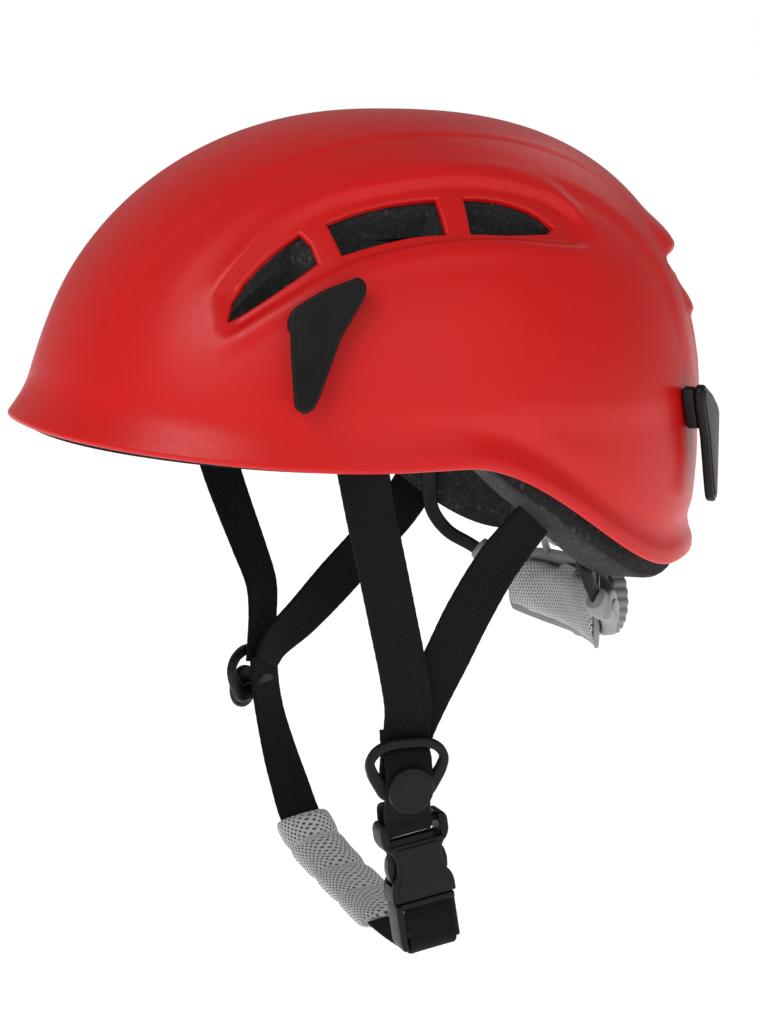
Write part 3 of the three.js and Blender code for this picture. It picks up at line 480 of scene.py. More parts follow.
def grid_normals(points):
    ahead = np.roll(points, -1, 1) - np.roll(points, 1, 1)
    above = np.vstack([np.broadcast_to([0, 0, CROWN], (1, len(points[0]), 3)), points[:-1]])
    below = np.vstack([points[1:], 2 * points[-1:] - points[-2:-1]])
    return unit(np.cross(below - above, ahead))


def turned_to(directions, guide):
    """The directions, each reversed where it points away from its guide."""
    return np.where(np.sum(directions * guide, -1, keepdims=True) < 0, -directions, directions)


def shell_grid(columns, rows):
    """Points on the plain shell, and their outward directions."""
    degrees = np.arange(columns) * 360 / columns
    fall = np.arange(1, rows + 1) / rows
    rim = rim_height(degrees)
    z = CROWN + (rim[None, :] - CROWN) * (1 - np.cos(fall[:, None] * math.pi / 2))
    turn = np.broadcast_to(degrees, z.shape)
    points = polar(turn, shell_radius(turn, z), z)
    return points, turned_to(grid_normals(points), points - [0, 0, CAVITY_BASE])


def build_shell(columns=420, rows=176):
    """The red shell: an outer and an inner face, joined by the vents' lips and the bottom edge."""
    base, normal = shell_grid(columns, rows)
    field = vent_distance(base) - LIP_RADIUS
    outer = base + normal * relief(base)[..., None]
    # directions from the finished surface, so the lips follow it
    facing = turned_to(grid_normals(outer), normal)
    inner = outer - facing * SHELL_WALL
    steps = 0.05 * np.eye(3)
    slope = np.stack([vent_distance(base + step) - vent_distance(base - step) for step in steps], -1)
    into = -unit(slope - facing * np.sum(slope * facing, -1, keepdims=True))

    flat = {name: grid.reshape(-1, 3) for name, grid in
            (("outer", outer), ("inner", inner), ("facing", facing), ("into", into))}
    flat["field"] = field.reshape(-1)
    extra = {key: [] for key in flat}
    crossing = {}
    count = columns * rows

    def cut_point(a, b):
        key = (min(a, b), max(a, b))
        if key not in crossing:
            fa, fb = flat["field"][key[0]], flat["field"][key[1]]
            t = min(max(fa / (fa - fb), 0.02), 0.98)
            for name in flat:
                extra[name].append(flat[name][key[0]] * (1 - t) + flat[name][key[1]] * t)
            crossing[key] = count + len(crossing)
        return crossing[key]

    faces = []
    edge_loops = []
    for i in range(rows - 1):
        for j in range(columns):
            k = (j + 1) % columns
            quad = (i * columns + j, i * columns + k, (i + 1) * columns + k, (i + 1) * columns + j)
            kept = [flat["field"][c] >= 0 for c in quad]
            if all(kept):
                faces.append(quad)
                continue
            if not any(kept):
                continue
            polygon = []
            cuts = []
            for a, b, ka, kb in zip(quad, quad[1:] + quad[:1], kept, kept[1:] + kept[:1]):
                if ka:
                    polygon.append(a)
                if ka != kb:
                    c = cut_point(a, b)
                    polygon.append(c)
                    cuts.append((c, ka))
            faces.append(tuple(polygon))
            leaving = [c for c, was_kept in cuts if was_kept]
            entering = [c for c, was_kept in cuts if not was_kept]
            edge_loops.extend(zip(leaving, entering))
    data = {name: np.vstack([flat[name], np.array(extra[name])]) if flat[name].ndim > 1
            else np.concatenate([flat[name], extra[name]]) for name in flat}
    data["facing"] = unit(data["facing"])
    data["into"] = unit(data["into"])
    total = len(data["outer"])
    points = [data["outer"], data["inner"]]
    faces += [tuple(total + c for c in reversed(face)) for face in faces]

    def add_points(row):
        """Adds the points and returns their numbers."""
        first = sum(len(block) for block in points)
        points.append(row)
        return np.arange(first, first + len(row))

    def bridge(layers, pairs):
        for upper, lower in zip(layers, layers[1:]):
            faces.extend((upper[b], upper[a], lower[a], lower[b]) for a, b in pairs)

    # crown caps
    crown = CROWN + CROWN_LIFT
    over, under = add_points(np.array([[0, 0, crown], [0, 0, crown - SHELL_WALL]]))
    around_rim = [((j + 1) % columns, j) for j in range(columns)]
    for k, j in around_rim:
        faces += [(over, k, j), (under, total + j, total + k)]

    # rounded lips round the vents
    rim_points = sorted({c for pair in edge_loops for c in pair})
    index = {c: n for n, c in enumerate(rim_points)}
    chosen = np.array(rim_points)
    at, out, into = data["outer"][chosen], data["facing"][chosen], data["into"][chosen]
    profile = [(LIP_RADIUS * math.sin(angle), LIP_RADIUS * (1 - math.cos(angle)))
               for angle in np.radians([22, 45, 68, 90])]
    profile += [(LIP_RADIUS, SHELL_WALL - 0.6), (LIP_RADIUS - 0.3, SHELL_WALL)]
    lip = [add_points(at + into * inwards - out * depth) for inwards, depth in profile]
    bridge([chosen, *lip, chosen + total], [(index[a], index[b]) for a, b in edge_loops])

    # half-round bottom edge
    last = np.arange((rows - 1) * columns, rows * columns)
    at, out = data["outer"][last], data["facing"][last]
    down = unit(np.cross(out, np.roll(at, -1, 0) - np.roll(at, 1, 0)))
    down = np.where(down[:, 2:] > 0, -down, down)
    half = SHELL_WALL / 2
    edge = [add_points(at - out * half * (1 - math.cos(angle)) + down * half * math.sin(angle))
            for angle in np.radians([30, 60, 90, 120, 150])]
    bridge([last, *edge, last + total], around_rim)

    def drop_loose(bm):
        bmesh.ops.delete(bm, geom=[v for v in bm.verts if not v.link_faces], context="VERTS")

    return sharpen(facing_out(new_mesh("shell", np.vstack(points), faces), drop_loose), 50)


# ------------------------------------------------------------------ foam liner
def cavity_radius(degrees, z):
    rise = np.clip((z - CAVITY_BASE) / CAVITY_RISE, 0, 1)
    return superellipse(*CAVITY, degrees) * np.sqrt(np.maximum(1 - rise**2, 0))


def build_liner(columns=168, rows=56):
    """The foam under the shell: its outer face, its bottom edge and the hollow for the head."""
    gap = SHELL_WALL + 0.3
    plain, normal = shell_grid(columns, rows)
    fall = (np.arange(1, rows + 1) / rows)[:, None, None]
    hollow = np.minimum(relief(plain), 0)[..., None]
    outer = plain - normal * (gap - hollow + 5.2 * smooth(fall, 0.86, 1))
    degrees = np.arange(columns) * 360 / columns
    turn = np.abs((degrees + 180) % 360 - 180)
    bottom = rim_height(degrees) - 1.5 - 6 * smooth(turn, 90, 106) * (1 - smooth(turn, 150, 170))
    rings = [outer[i] for i in range(rows)]
    edge = shell_radius(degrees, rim_height(degrees)) - gap - 5.2
    wall = cavity_radius(degrees, np.full(columns, float(CAVITY_BASE)))
    rings.append(polar(degrees, edge, bottom + 1.2))
    rings.append(polar(degrees, edge - 1.0, bottom + 0.2))
    for share in (0.06, 0.3, 0.6, 0.94):
        rings.append(polar(degrees, edge - 1.5 + (wall - edge + 3) * share, bottom))
    rings.append(polar(degrees, wall + 0.4, bottom + 0.5))
    for share in (0.04, 0.3, 0.65, 1):
        rings.append(polar(degrees, wall, bottom + (CAVITY_BASE - bottom) * share))
    for rise in np.sin(np.linspace(0, 0.5, 22)[1:-1] * math.pi):
        z = np.full(columns, CAVITY_BASE + CAVITY_RISE * rise)
        rings.append(polar(degrees, cavity_radius(degrees, z), z))
    points = [[0, 0, CROWN - gap]]
    faces = []
    for ring in rings:
        points.extend(ring.tolist())
    points.append([0, 0, CAVITY_BASE + CAVITY_RISE])
    last = len(points) - 1
    for j in range(columns):
        k = (j + 1) % columns
        faces.append((0, 1 + k, 1 + j))
        faces.append((last, last - columns + j, last - columns + k))
        for i in range(len(rings) - 1):
            a = 1 + i * columns
            faces.append((a + j, a + k, a + columns + k, a + columns + j))
    liner = new_mesh("liner", points, faces)
    clean(liner, 1e-6)
    cutters = []
    for outline in SIDE_VENTS:
        shape = rounded(shrunk([(y, a * ARC) for y, a in outline], 0.9), 3)
        for side in (-1, 1):
            rings = []
            for reach in (45, 75, 105, 150):
                flare = 1 + 0.0012 * (reach - 105)
                a = np.radians([s / ARC for _, s in shape])
                y0 = np.mean([y for y, _ in shape])
                y = y0 + (np.array([y for y, _ in shape]) - y0) * flare
                z = CRESCENT_AXIS + reach * np.cos(a)
                rings.append(np.stack([side * reach * np.sin(a), y, z], -1))
            cutters.append(clean(tube_grid("cutter", rings)))
    for outline in REAR_VENTS:
        shape = rounded(shrunk(outline, 0.8), 2)
        for side in (-1, 1):
            rings = [[(side * x, y, z) for x, z in shape] for y in (50, 110, 170)]
            cutters.append(clean(tube_grid("cutter", rings)))
    subtract(liner, *cutters)
    return sharpen(liner, 38)


def shrunk(corners, amount):
    """The outline with every side moved inwards."""
    corners = [np.array(c, float) for c in corners]
    area = sum(a[0] * b[1] - a[1] * b[0] for a, b in zip(corners, corners[1:] + corners[:1]))
    turn = 1 if area > 0 else -1
    result = []
    for i, here in enumerate(corners):
        before = unit(here - corners[i - 1])
        after = unit(corners[(i + 1) % len(corners)] - here)
        n0 = turn * np.array([-before[1], before[0]])
        n1 = turn * np.array([-after[1], after[0]])
        bisector = unit(n0 + n1)
        result.append(here + bisector * amount / max(float(bisector @ n0), 0.4))
    return result


# ------------------------------------------------------------------ materials
class Nodes:
    """A principled material with short calls for its texture nodes."""

    def __init__(self, name, roughness, **constants):
        self.material = bpy.data.materials.new(name)
        self.material.use_nodes = True
        self.tree = self.material.node_tree
        self.shader = self.tree.nodes["Principled BSDF"]
        self.shader.inputs["Roughness"].default_value = roughness
        for socket, value in constants.items():
            self.shader.inputs[socket.replace("_", " ")].default_value = value
        self.coordinates = None

    def add(self, kind, **settings):
        node = self.tree.nodes.new(kind)
        for key, value in settings.items():
            setattr(node, key, value)
        return node

    def link(self, source, target):
        self.tree.links.new(source, target)

    def place(self):
        if self.coordinates is None:
            self.coordinates = self.add("ShaderNodeTexCoord").outputs["Object"]
        return self.coordinates

    def weave(self, scale=(1, 1, 1), turn=0):
        """The stored place on the fabric in mm, scaled and turned."""
        source = self.add("ShaderNodeAttribute", attribute_name="weave")
        mapping = self.add("ShaderNodeMapping")
        mapping.inputs["Scale"].default_value = scale
        mapping.inputs["Rotation"].default_value = (0, 0, math.radians(turn))
        self.link(source.outputs["Vector"], mapping.inputs["Vector"])
        return mapping.outputs["Vector"]

    def noise(self, scale, detail=3, at=None, roughness=0.55):
        node = self.add("ShaderNodeTexNoise")
        node.inputs["Scale"].default_value = scale
        node.inputs["Detail"].default_value = detail
        node.inputs["Roughness"].default_value = roughness
        self.link(at or self.place(), node.inputs["Vector"])
        return node.outputs["Fac"]

    def cells(self, scale, at=None, feature="F1", randomness=1.0, dimensions="3D"):
        node = self.add("ShaderNodeTexVoronoi", feature=feature, voronoi_dimensions=dimensions)
        node.inputs["Scale"].default_value = scale
        node.inputs["Randomness"].default_value = randomness
        self.link(at or self.place(), node.inputs["Vector"])
        return node

    def feed(self, socket, value):
        """Sets a socket to a number or a colour, or links it."""
        if isinstance(value, (int, float)):
            socket.default_value = value
        elif isinstance(value, tuple):
            socket.default_value = (*value, 1)
        elif value is not None:
            self.link(value, socket)

    def math(self, operation, a, b=None):
        node = self.add("ShaderNodeMath", operation=operation)
        for socket, value in zip(node.inputs, (a, b)):
            self.feed(socket, value)
        return node.outputs[0]

    def times(self, a, b):
        return self.math("MULTIPLY", a, b)

    def plus(self, a, b):
        return self.math("ADD", a, b)

    def span(self, value, low, high, to_low=0.0, to_high=1.0):
        node = self.add("ShaderNodeMapRange", clamp=True)
        limits = {"From Min": low, "From Max": high, "To Min": to_low, "To Max": to_high}
        for key, number in limits.items():
            node.inputs[key].default_value = number
        self.link(value, node.inputs["Value"])
        return node.outputs["Result"]

    def colours(self, value, *stops):
        ramp = self.add("ShaderNodeValToRGB")
        while len(ramp.color_ramp.elements) < len(stops):
            ramp.color_ramp.elements.new(0.5)
        for element, (position, colour) in zip(ramp.color_ramp.elements, stops):
            element.position = position
            element.color = (*colour, 1)
        self.link(value, ramp.inputs["Fac"])
        return ramp.outputs["Color"]

    def mix(self, share, a, b):
        node = self.add("ShaderNodeMix", data_type="RGBA")
        for place, value in ((0, share), (6, a), (7, b)):
            self.feed(node.inputs[place], value)
        return node.outputs[2]

    def bump(self, height, distance, strength=1.0, under=None):
        node = self.add("ShaderNodeBump")
        node.inputs["Strength"].default_value = strength
        node.inputs["Distance"].default_value = distance
        self.link(height, node.inputs["Height"])
        if under is not None:
            self.link(under, node.inputs["Normal"])
        return node.outputs["Normal"]

    def finish(self, colour=None, roughness=None, normal=None):
        for name, value in (("Base Color", colour), ("Roughness", roughness), ("Normal", normal)):
            self.feed(self.shader.inputs[name], value)
        return self.material


def shell_red():
    m = Nodes("shell_red", 0.4, Coat_Weight=0.04, Coat_Roughness=0.25, IOR=1.38)
    broad = m.noise(9, 2)
    fine = m.noise(420, 4)
    colour = m.colours(broad, (0.3, (0.62, 0.004, 0.004)), (0.7, (0.70, 0.006, 0.005)))
    dust = m.span(m.noise(1500, 2), 0.74, 0.8)
    colour = m.mix(m.times(dust, 0.08), colour, (0.75, 0.2, 0.18))
    rough = m.span(fine, 0.3, 0.7, 0.33, 0.43)
    grain = m.bump(m.noise(2600, 2), 0.00002, 0.25)
    return m.finish(colour, rough, m.bump(m.noise(60, 2), 0.00012, 0.22, grain))


def bead_foam():
    m = Nodes("bead_foam", 0.82)
    beads = m.cells(560)
    edge = m.cells(560, feature="DISTANCE_TO_EDGE").outputs["Distance"]
    tone = m.add("ShaderNodeSeparateColor")
    m.link(beads.outputs["Color"], tone.inputs[0])
    colour = m.colours(tone.outputs[0], (0.0, (0.009, 0.009, 0.010)), (0.75, (0.017, 0.018, 0.019)),
                       (0.94, (0.030, 0.031, 0.032)), (1.0, (0.06, 0.062, 0.064)))
    speck = m.span(m.noise(1500, 3), 0.6, 0.72)
    colour = m.mix(m.times(speck, 0.4), colour, (0.11, 0.113, 0.115))
    height = m.span(edge, 0.0, 0.12)
    height = m.plus(height, m.times(m.noise(1600, 2), 0.35))
    return m.finish(colour, None, m.bump(height, 0.0004, 0.7))


def webbing_black():
    m = Nodes("webbing_black", 0.8, Sheen_Weight=0.03, Sheen_Roughness=0.5, IOR=1.2)
    place = m.add("ShaderNodeSeparateXYZ")
    m.link(m.weave(), place.inputs[0])
    across, along = place.outputs[0], place.outputs[1]
    folded = m.math("ABSOLUTE", across)
    diagonal = m.plus(m.times(folded, 0.62), m.times(along, 0.78))
    rib = m.math("SINE", m.times(diagonal, 2 * math.pi))
    yarn = m.math("SINE", m.times(m.math("SUBTRACT", along, m.times(folded, 0.5)), 9.5))
    height = m.plus(m.times(rib, 0.7), m.times(yarn, 0.3))
    selvedge = m.span(folded, 8.7, 8.9)
    ridge = m.math("SINE", m.times(along, 6.3))
    inner = m.times(height, m.math("SUBTRACT", 1.0, selvedge))
    height = m.plus(inner, m.times(ridge, selvedge))
    fuzz = m.noise(900, 3)
    colour = m.colours(m.span(height, -1, 1), (0.0, (0.002, 0.002, 0.002)), (0.55, (0.006, 0.006, 0.0065)),
                       (1.0, (0.016, 0.0162, 0.018)))
    colour = m.mix(m.times(m.span(fuzz, 0.45, 0.8), 0.25), colour, (0.024, 0.0245, 0.027))
    return m.finish(colour, m.span(fuzz, 0.3, 0.7, 0.7, 0.85), m.bump(height, 0.00022, 0.9))


def grained_plastic(name, dark, light, roughness, grain=0.5):
    m = Nodes(name, roughness, IOR=1.3)
    colour = m.colours(m.noise(45, 3), (0.35, dark), (0.65, light))
    pits = m.cells(2100, feature="SMOOTH_F1").outputs["Distance"]
    rough = m.span(m.noise(700, 3), 0.3, 0.7, roughness - 0.06, roughness + 0.07)
    return m.finish(colour, rough, m.bump(pits, 0.00006, grain))


def spacer_mesh(name, dark, light):
    m = Nodes(name, 0.85, Sheen_Weight=0.3, Sheen_Roughness=0.5)
    holes = m.cells(1, m.weave((0.62, 0.5, 1), 38), randomness=0.12, dimensions="2D")
    open_share = m.span(holes.outputs["Distance"], 0.2, 0.34)
    thread = m.weave((2.3, 2.3, 1), 20)
    knit = m.noise(1.7, 3, thread)
    yarn = m.colours(knit, (0.3, tuple(0.62 * c for c in light)), (0.7, light))
    colour = m.mix(open_share, dark, yarn)
    height = m.plus(open_share, m.times(knit, 0.5))
    return m.finish(colour, None, m.bump(height, 0.00045, 0.85))


def brushed_pad():
    m = Nodes("brushed_pad", 0.92, Sheen_Weight=0.45, Sheen_Roughness=0.6)
    nap = m.noise(700, 4)
    colour = m.colours(nap, (0.3, (0.012, 0.012, 0.014)), (0.7, (0.035, 0.036, 0.04)))
    return m.finish(colour, None, m.bump(nap, 0.0003, 0.6))


def steel():
    m = Nodes("steel", 0.3, Metallic=1.0)
    streak = m.noise(260, 4)
    return m.finish(m.colours(streak, (0.3, (0.45, 0.45, 0.46)), (0.7, (0.62, 0.62, 0.63))),
                    m.span(streak, 0.3, 0.7, 0.24, 0.4), m.bump(streak, 0.00003, 0.4))


LOOKS = {
    "shell": shell_red(),
    "foam": bead_foam(),
    "webbing": webbing_black(),
    "black_plastic": grained_plastic(
        "black_plastic", (0.004, 0.004, 0.0042), (0.008, 0.008, 0.0085), 0.4, 0.45),
    "gloss_edge": grained_plastic(
        "black_plastic_edge", (0.004, 0.004, 0.0045), (0.007, 0.007, 0.0075), 0.28, 0.15),
    "grey_plastic": grained_plastic(
        "grey_plastic", (0.26, 0.262, 0.268), (0.31, 0.312, 0.318), 0.38, 0.3),
    "grey_mesh": spacer_mesh("grey_mesh", (0.07, 0.071, 0.074), (0.76, 0.765, 0.78)),
    "dark_pad": brushed_pad(),
    "steel": steel(),
}


def dress(obj, look, body, *nodes, slot=None):
    """Gives a finished piece its material, its body and the CAD nodes it stands for."""
    obj.data.materials.clear()
    obj.data.materials.append(LOOKS[look])
    if body:
        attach(obj, body)
    if nodes:
        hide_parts(*nodes)
    return obj


# ------------------------------------------------------------------ helmet body
dress(build_shell(), "shell", "helmet", "outer_shell")
dress(build_liner(), "foam", "helmet", "foam_liner")


def wall_frame(degrees, z, flip):
    """A place on the shell's wall: local x along the wall, y up it, z outwards, in mm."""

    def at(turn, height):
        place = np.array([float(degrees)]) + turn, np.array([z + height])
        return polar(place[0], shell_radius(*place), place[1])[0]

    origin = at(0, 0)
    outward = unit(np.cross(at(0.1, 0) - origin, at(0, 0.1) - origin))
    if outward @ np.array([origin[0], origin[1], 0]) < 0:
        outward = -outward
    up = unit(np.array([0, 0, 1]) - outward * outward[2])
    return frame_of(np.cross(up, outward) * flip, up, outward, origin)


CLIP_LEVER = [
    (13.5, 24.3), (16.3, 21.5), (15.9, 17), (11.8, 9.9), (6.8, 1.7), (3, -8.4), (-1.2, -19.9),
    (-3.8, -25.4), (-7.6, -27.2), (-11, -24.9), (-12, -8), (-12.5, 10.5), (-10.2, 13),
    (-0.7, 18.7)]
CLIP_FOOT = [(12.8, 23.3), (15.4, 21.3), (15, 17.3), (11.3, 10.9), (7.8, 5), (-13.3, 4.4), (-13.2, 9.8),
             (-9.8, 12.2), (-0.5, 17.9)]


def build_clip(end, place):
    """A headlamp clip for the wearer's left side, and its mirror image for the right."""
    lever = moulded("lever", [rounded(CLIP_LEVER, 1.8)], 4.5, 8.3, 1.2, place, 4)
    face = moulded("face", [rounded(shrunk(CLIP_LEVER, 2.1), 1.6)], 7.6, 8.75, 0.42, place)
    rib = moulded("rib", [rounded([
        (-9.8, -21), (-6.5, -23.5), (-4.6, -20), (-7.2, 2), (-9.8, 2)], 1.2)],
                  4.0, 5.6, 0.5, place)
    lever = sharpen(joined(f"clip_tongue_{end}_left", lever, face, rib), 40)
    foot = moulded("foot", [rounded(CLIP_FOOT, 1.8)], -0.6, 4.15, 0.8, place)
    collar = rounded([(5, 8), (5, 18), (-5, 18), (-5, 8)], 4)
    collar = moulded("collar", [collar], -6.0, 1.0, 0.3, place)
    foot = sharpen(joined(f"clip_foot_{end}_left", foot, collar), 40)
    for part, body, node in ((lever, "clip_{}", "clip_lever_{}"), (foot, "helmet", "clip_base_{}")):
        twin = mirrored_copy(part, part.name.replace("_left", "_right"))
        for obj, side in ((part, "left"), (twin, "right")):
            corner = f"{end}_{side}"
            dress(facing_out(obj), "black_plastic", body.format(corner), node.format(corner))


build_clip("front", wall_frame(60, -54, 1))
build_clip("rear", wall_frame(149, -102, -1))

# ------------------------------------------------------------------ harness webbing
FACE_OUT = (0, 1, 0.15)
STRAPS = {
    "front_left": [
        ((95.5, -44.5, -80), (0.2, 1, 0)), ((94.8, -42, -92), (0.2, 1, 0)),
        ((92.5, -38.5, -104), (0.15, 1, 0)), ((89, -34.5, -120), FACE_OUT),
        ((86, -29.3, -138.6), FACE_OUT), ((81, -22, -165), FACE_OUT),
        ((77.6, -16.5, -186), FACE_OUT), ((74.4, -13, -202), (0, 1, 0.05)),
        ((72.7, -13, -213), (0, 1, 0)), ((72.5, -13.5, -224), (0, 1, 0)),
        ((73, -13.9, -235), (0, 1, 0))],
    "rear_left": [
        ((87, 50.5, -102), (-0.55, 1, 0)), ((86.6, 46, -112), (-0.5, 1, -0.2)),
        ((85.5, 38.5, -124), (-0.3, 1, -0.35)), ((82, 22.8, -143.9), (-0.1, 1, -0.6)),
        ((79, 11.4, -163.7), (0, 1, -0.55)), ((74.6, 2.9, -183.9), (0, 1, -0.4)),
        ((71.7, -4.5, -200), (0, 1, -0.35)), ((71, -10.5, -213), (0, 1, -0.2)),
        ((70.8, -13.5, -224), (0, 1, 0)), ((71.3, -13.9, -235), (0, 1, 0))],
    "front_right": [
        ((-95.5, -44.5, -80), (-0.2, 1, 0)), ((-95.6, -43.5, -96), (-0.2, 1, 0)),
        ((-95, -41, -112), (-0.2, 1, 0)), ((-93, -37, -130), (-0.3, 1, 0.1)),
        ((-89, -32, -147.6), (-0.4, 1, 0.1)), ((-85, -27, -164), (-0.5, 1, 0.1)),
        ((-80, -23, -180), (-0.6, 1, 0)), ((-77, -23.4, -192.8), (-0.7, 1, 0)),
        ((-74, -25.5, -206), (-0.75, 1, 0)), ((-73, -26.5, -214), (-0.75, 1, 0))],
    "rear_right": [
        ((-87, 50.5, -102), (0.55, 1, 0)), ((-87, 54, -116), (0.55, 1, 0)),
        ((-85, 55, -134), (0.4, 1, -0.3)), ((-83, 45.6, -148.6), (0.1, 1, -0.7)),
        ((-81, 31.6, -162.6), (0, 1, -0.95)), ((-78, 14, -178.3), (0, 1, -0.95)),
        ((-74.5, -5, -195), (-0.3, 1, -0.8)), ((-71, -19.5, -206), (-0.6, 1, -0.5)),
        ((-69.8, -24.4, -214), (-0.75, 1, 0))],
}
BUCKLE_STRAP = [
    ((71.3, -14, -211), (0, 1, 0)), ((72.6, -14, -216.5), (0, 1, 0)),
    ((76.6, -14, -221.5), (0, 1, 0)), ((78.3, -14, -228), (0, 1, 0)),
    ((77.4, -13.8, -236), (0, 1, 0)), ((72.6, -12.6, -243), (0, 1, 0.1)),
    ((69.3, -11, -249), (0, 1, 0.158)), ((68.3, -9.9, -253.4), (0, 1, 0.158)),
    ((64.2, -9.3, -256.4), (0, 1, 0.158)), ((60.1, -9.9, -253.2), (0, 1, 0.158)),
    ((60.6, -11, -247.4), (0, 1, 0.158)), ((63.2, -11.8, -243.8), (0, 1, 0.1)),
    ((67.4, -12.3, -241.8), (0, 1, 0.1)), ((71.4, -12.6, -240.9), (0, 1, 0.1))]
CHIN_STRAP = [
    ((-71.2, -25.2, -210), (-0.75, 1, 0)), ((-70.8, -24.2, -226), (-0.75, 1, 0)),
    ((-69.6, -22.6, -238), (-0.7, 1, 0)), ((-65.5, -20, -253), (-0.5, 1, 0)),
    ((-57, -18, -267), (-0.3, 1, 0)), ((-47, -16.2, -280), (-0.15, 1, 0)),
    ((-37, -12.8, -289.5), (-0.1, 1, 0)), ((-24, -8.8, -296.2), (-0.1, 1, 0)),
    ((-5, -5.6, -300.9), (-0.05, 1, 0)), ((12, -4, -303.6), (0, 1, 0)),
    ((28, -3, -305), (0, 1, 0.05)), ((44, -1.6, -305.4), (0, 1, 0.12)),
    ((58, 0.6, -305.6), (0, 1, 0.158)), ((66.5, 0.9, -304.9), (0, 1, 0.158)),
    ((70, 0.2, -301.6), (0, 1, 0.158)), ((70.5, -0.9, -295), (0, 1, 0.158)),
    ((70, -2.1, -288), (0, 1, 0.158)), ((67, -2.6, -284.9), (0, 1, 0.158))]

for corner, route in STRAPS.items():
    dress(webbing(f"webbing_{corner}", route), "webbing", "helmet", f"strap_{corner}")
dress(webbing("webbing_buckle", BUCKLE_STRAP, spacing=1.0), "webbing", "helmet", "buckle_strap")
chin_webbing = dress(webbing("webbing_chin", CHIN_STRAP, spacing=1.2), "webbing", None, "chin_strap")
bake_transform(chin_webbing)


# ------------------------------------------------------------------ chin sleeve
def build_chin_sleeve():
    """A padded tube round the chin webbing, drawn in where it is stitched across."""
    stops, centre, tangent, side, face = path_frames(CHIN_STRAP[5:11], 1.1)
    length = stops[-1]
    share = stops / length
    seams = np.array([0.16, 0.42, 0.69])
    pinch = np.exp(-(((share[:, None] - seams) * length) / 2.6) ** 2).max(axis=1)
    ends = np.minimum(share, 1 - share) * length
    close = np.sqrt(np.clip(ends / 3.5, 0, 1))
    puff = 4.3 * (1 - 0.34 * pinch) * (0.5 + 0.5 * close)
    puff *= 1 + 0.05 * np.sin(stops * 0.45 + 0.7)
    half = 13.4 * (1 - 0.045 * pinch) * (0.93 + 0.07 * close)
    turns = np.linspace(0, 2 * math.pi, 48, endpoint=False)
    c, s = np.cos(turns), np.sin(turns)
    across = np.sign(c) * np.abs(c) ** 0.72
    up = np.sign(s) * np.abs(s) ** 0.8
    rings = sweep(centre, side, face, across * half[:, None], up * puff[:, None])
    # the ends turn in to the webbing
    inner = [rings[0] * 0.35 + centre[0] * 0.65 + tangent[0] * 0.6]
    outer = [rings[-1] * 0.35 + centre[-1] * 0.65 - tangent[-1] * 0.6]
    lip = [rings[0] * 0.9 + centre[0] * 0.1 - tangent[0] * 0.5]
    far_lip = [rings[-1] * 0.9 + centre[-1] * 0.1 + tangent[-1] * 0.5]
    rings = np.concatenate([inner, lip, rings, far_lip, outer])
    obj = tube_grid("chin_sleeve", rings)
    girth = turns / (2 * math.pi) * 58
    along = np.concatenate([[0, 0], stops, [length, length]])
    lay_weave(obj, np.tile(girth, len(rings)), np.repeat(along, len(turns)))
    threads = []
    for seam in seams:
        k = int(round(seam * (len(stops) - 1)))
        for n in range(-6, 7):
            for lean in (-1, 1):
                pts = []
                for t in np.linspace(-1, 1, 5):
                    a = (n + 0.5 * t) / 6.6
                    at = centre[k] + tangent[k] * lean * t * 1.3 + side[k] * a * half[k] * 0.93
                    lift = puff[k] * (max(1 - abs(a) ** 2.6, 0)) ** 0.45
                    pts.append(at + face[k] * (lift + 0.25 + 0.25 * (1 - t * t)))
                threads.append(thread("stitch", pts, 0.28))
    return obj, joined("chin_sleeve_stitches", *threads)


def thread(name, points, radius, sides=6):
    points = np.array(points)
    tangent = unit(np.gradient(points, axis=0))
    guide = np.array([0, 0, 1.0]) if abs(tangent[0][2]) < 0.9 else np.array([1.0, 0, 0])
    side = unit(np.cross(tangent, guide))
    up = np.cross(tangent, side)
    turns = np.linspace(0, 2 * math.pi, sides, endpoint=False)
    ring = np.cos(turns)[None] * radius, np.sin(turns)[None] * radius
    return tube_grid(name, sweep(points, side, up, *ring))


sleeve, sleeve_stitches = build_chin_sleeve()
LOOKS["thread"] = grained_plastic("thread", (0.55, 0.56, 0.58), (0.68, 0.69, 0.7), 0.8, 0.3)
dress(facing_out(sleeve), "grey_mesh", "plug", "chin_pad")
dress(facing_out(sleeve_stitches), "thread", "plug", slot="grey_mesh")


# ------------------------------------------------------------------ dividers
DIVIDER = rounded([
    (8, 12.8), (-8, 12.8), (-15, 9.3), (-18, 3.6), (-16.6, -2.5), (-10.6, -12.6), (10.6, -12.6),
    (16.6, -2.5), (18, 3.6), (15, 9.3)], [5, 5, 4, 3.5, 4, 3, 3, 4, 3.5, 4])
DIVIDER_EYE = rounded([
    (6, 8.6), (-6, 8.6), (-11.5, 6.9), (-14.3, 3.7), (-12.2, -0.6), (-8.5, -4.6), (8.5, -4.6),
    (12.2, -0.6), (14.3, 3.7), (11.5, 6.9)], [4, 4, 2, 1.4, 1.6, 1, 1, 1.6, 1.4, 2])


def circle(radius, at=(0, 0), steps=48):
    turns = np.arange(steps) / steps * 2 * math.pi
    return [(at[0] + radius * math.cos(t), at[1] + radius * math.sin(t)) for t in turns]


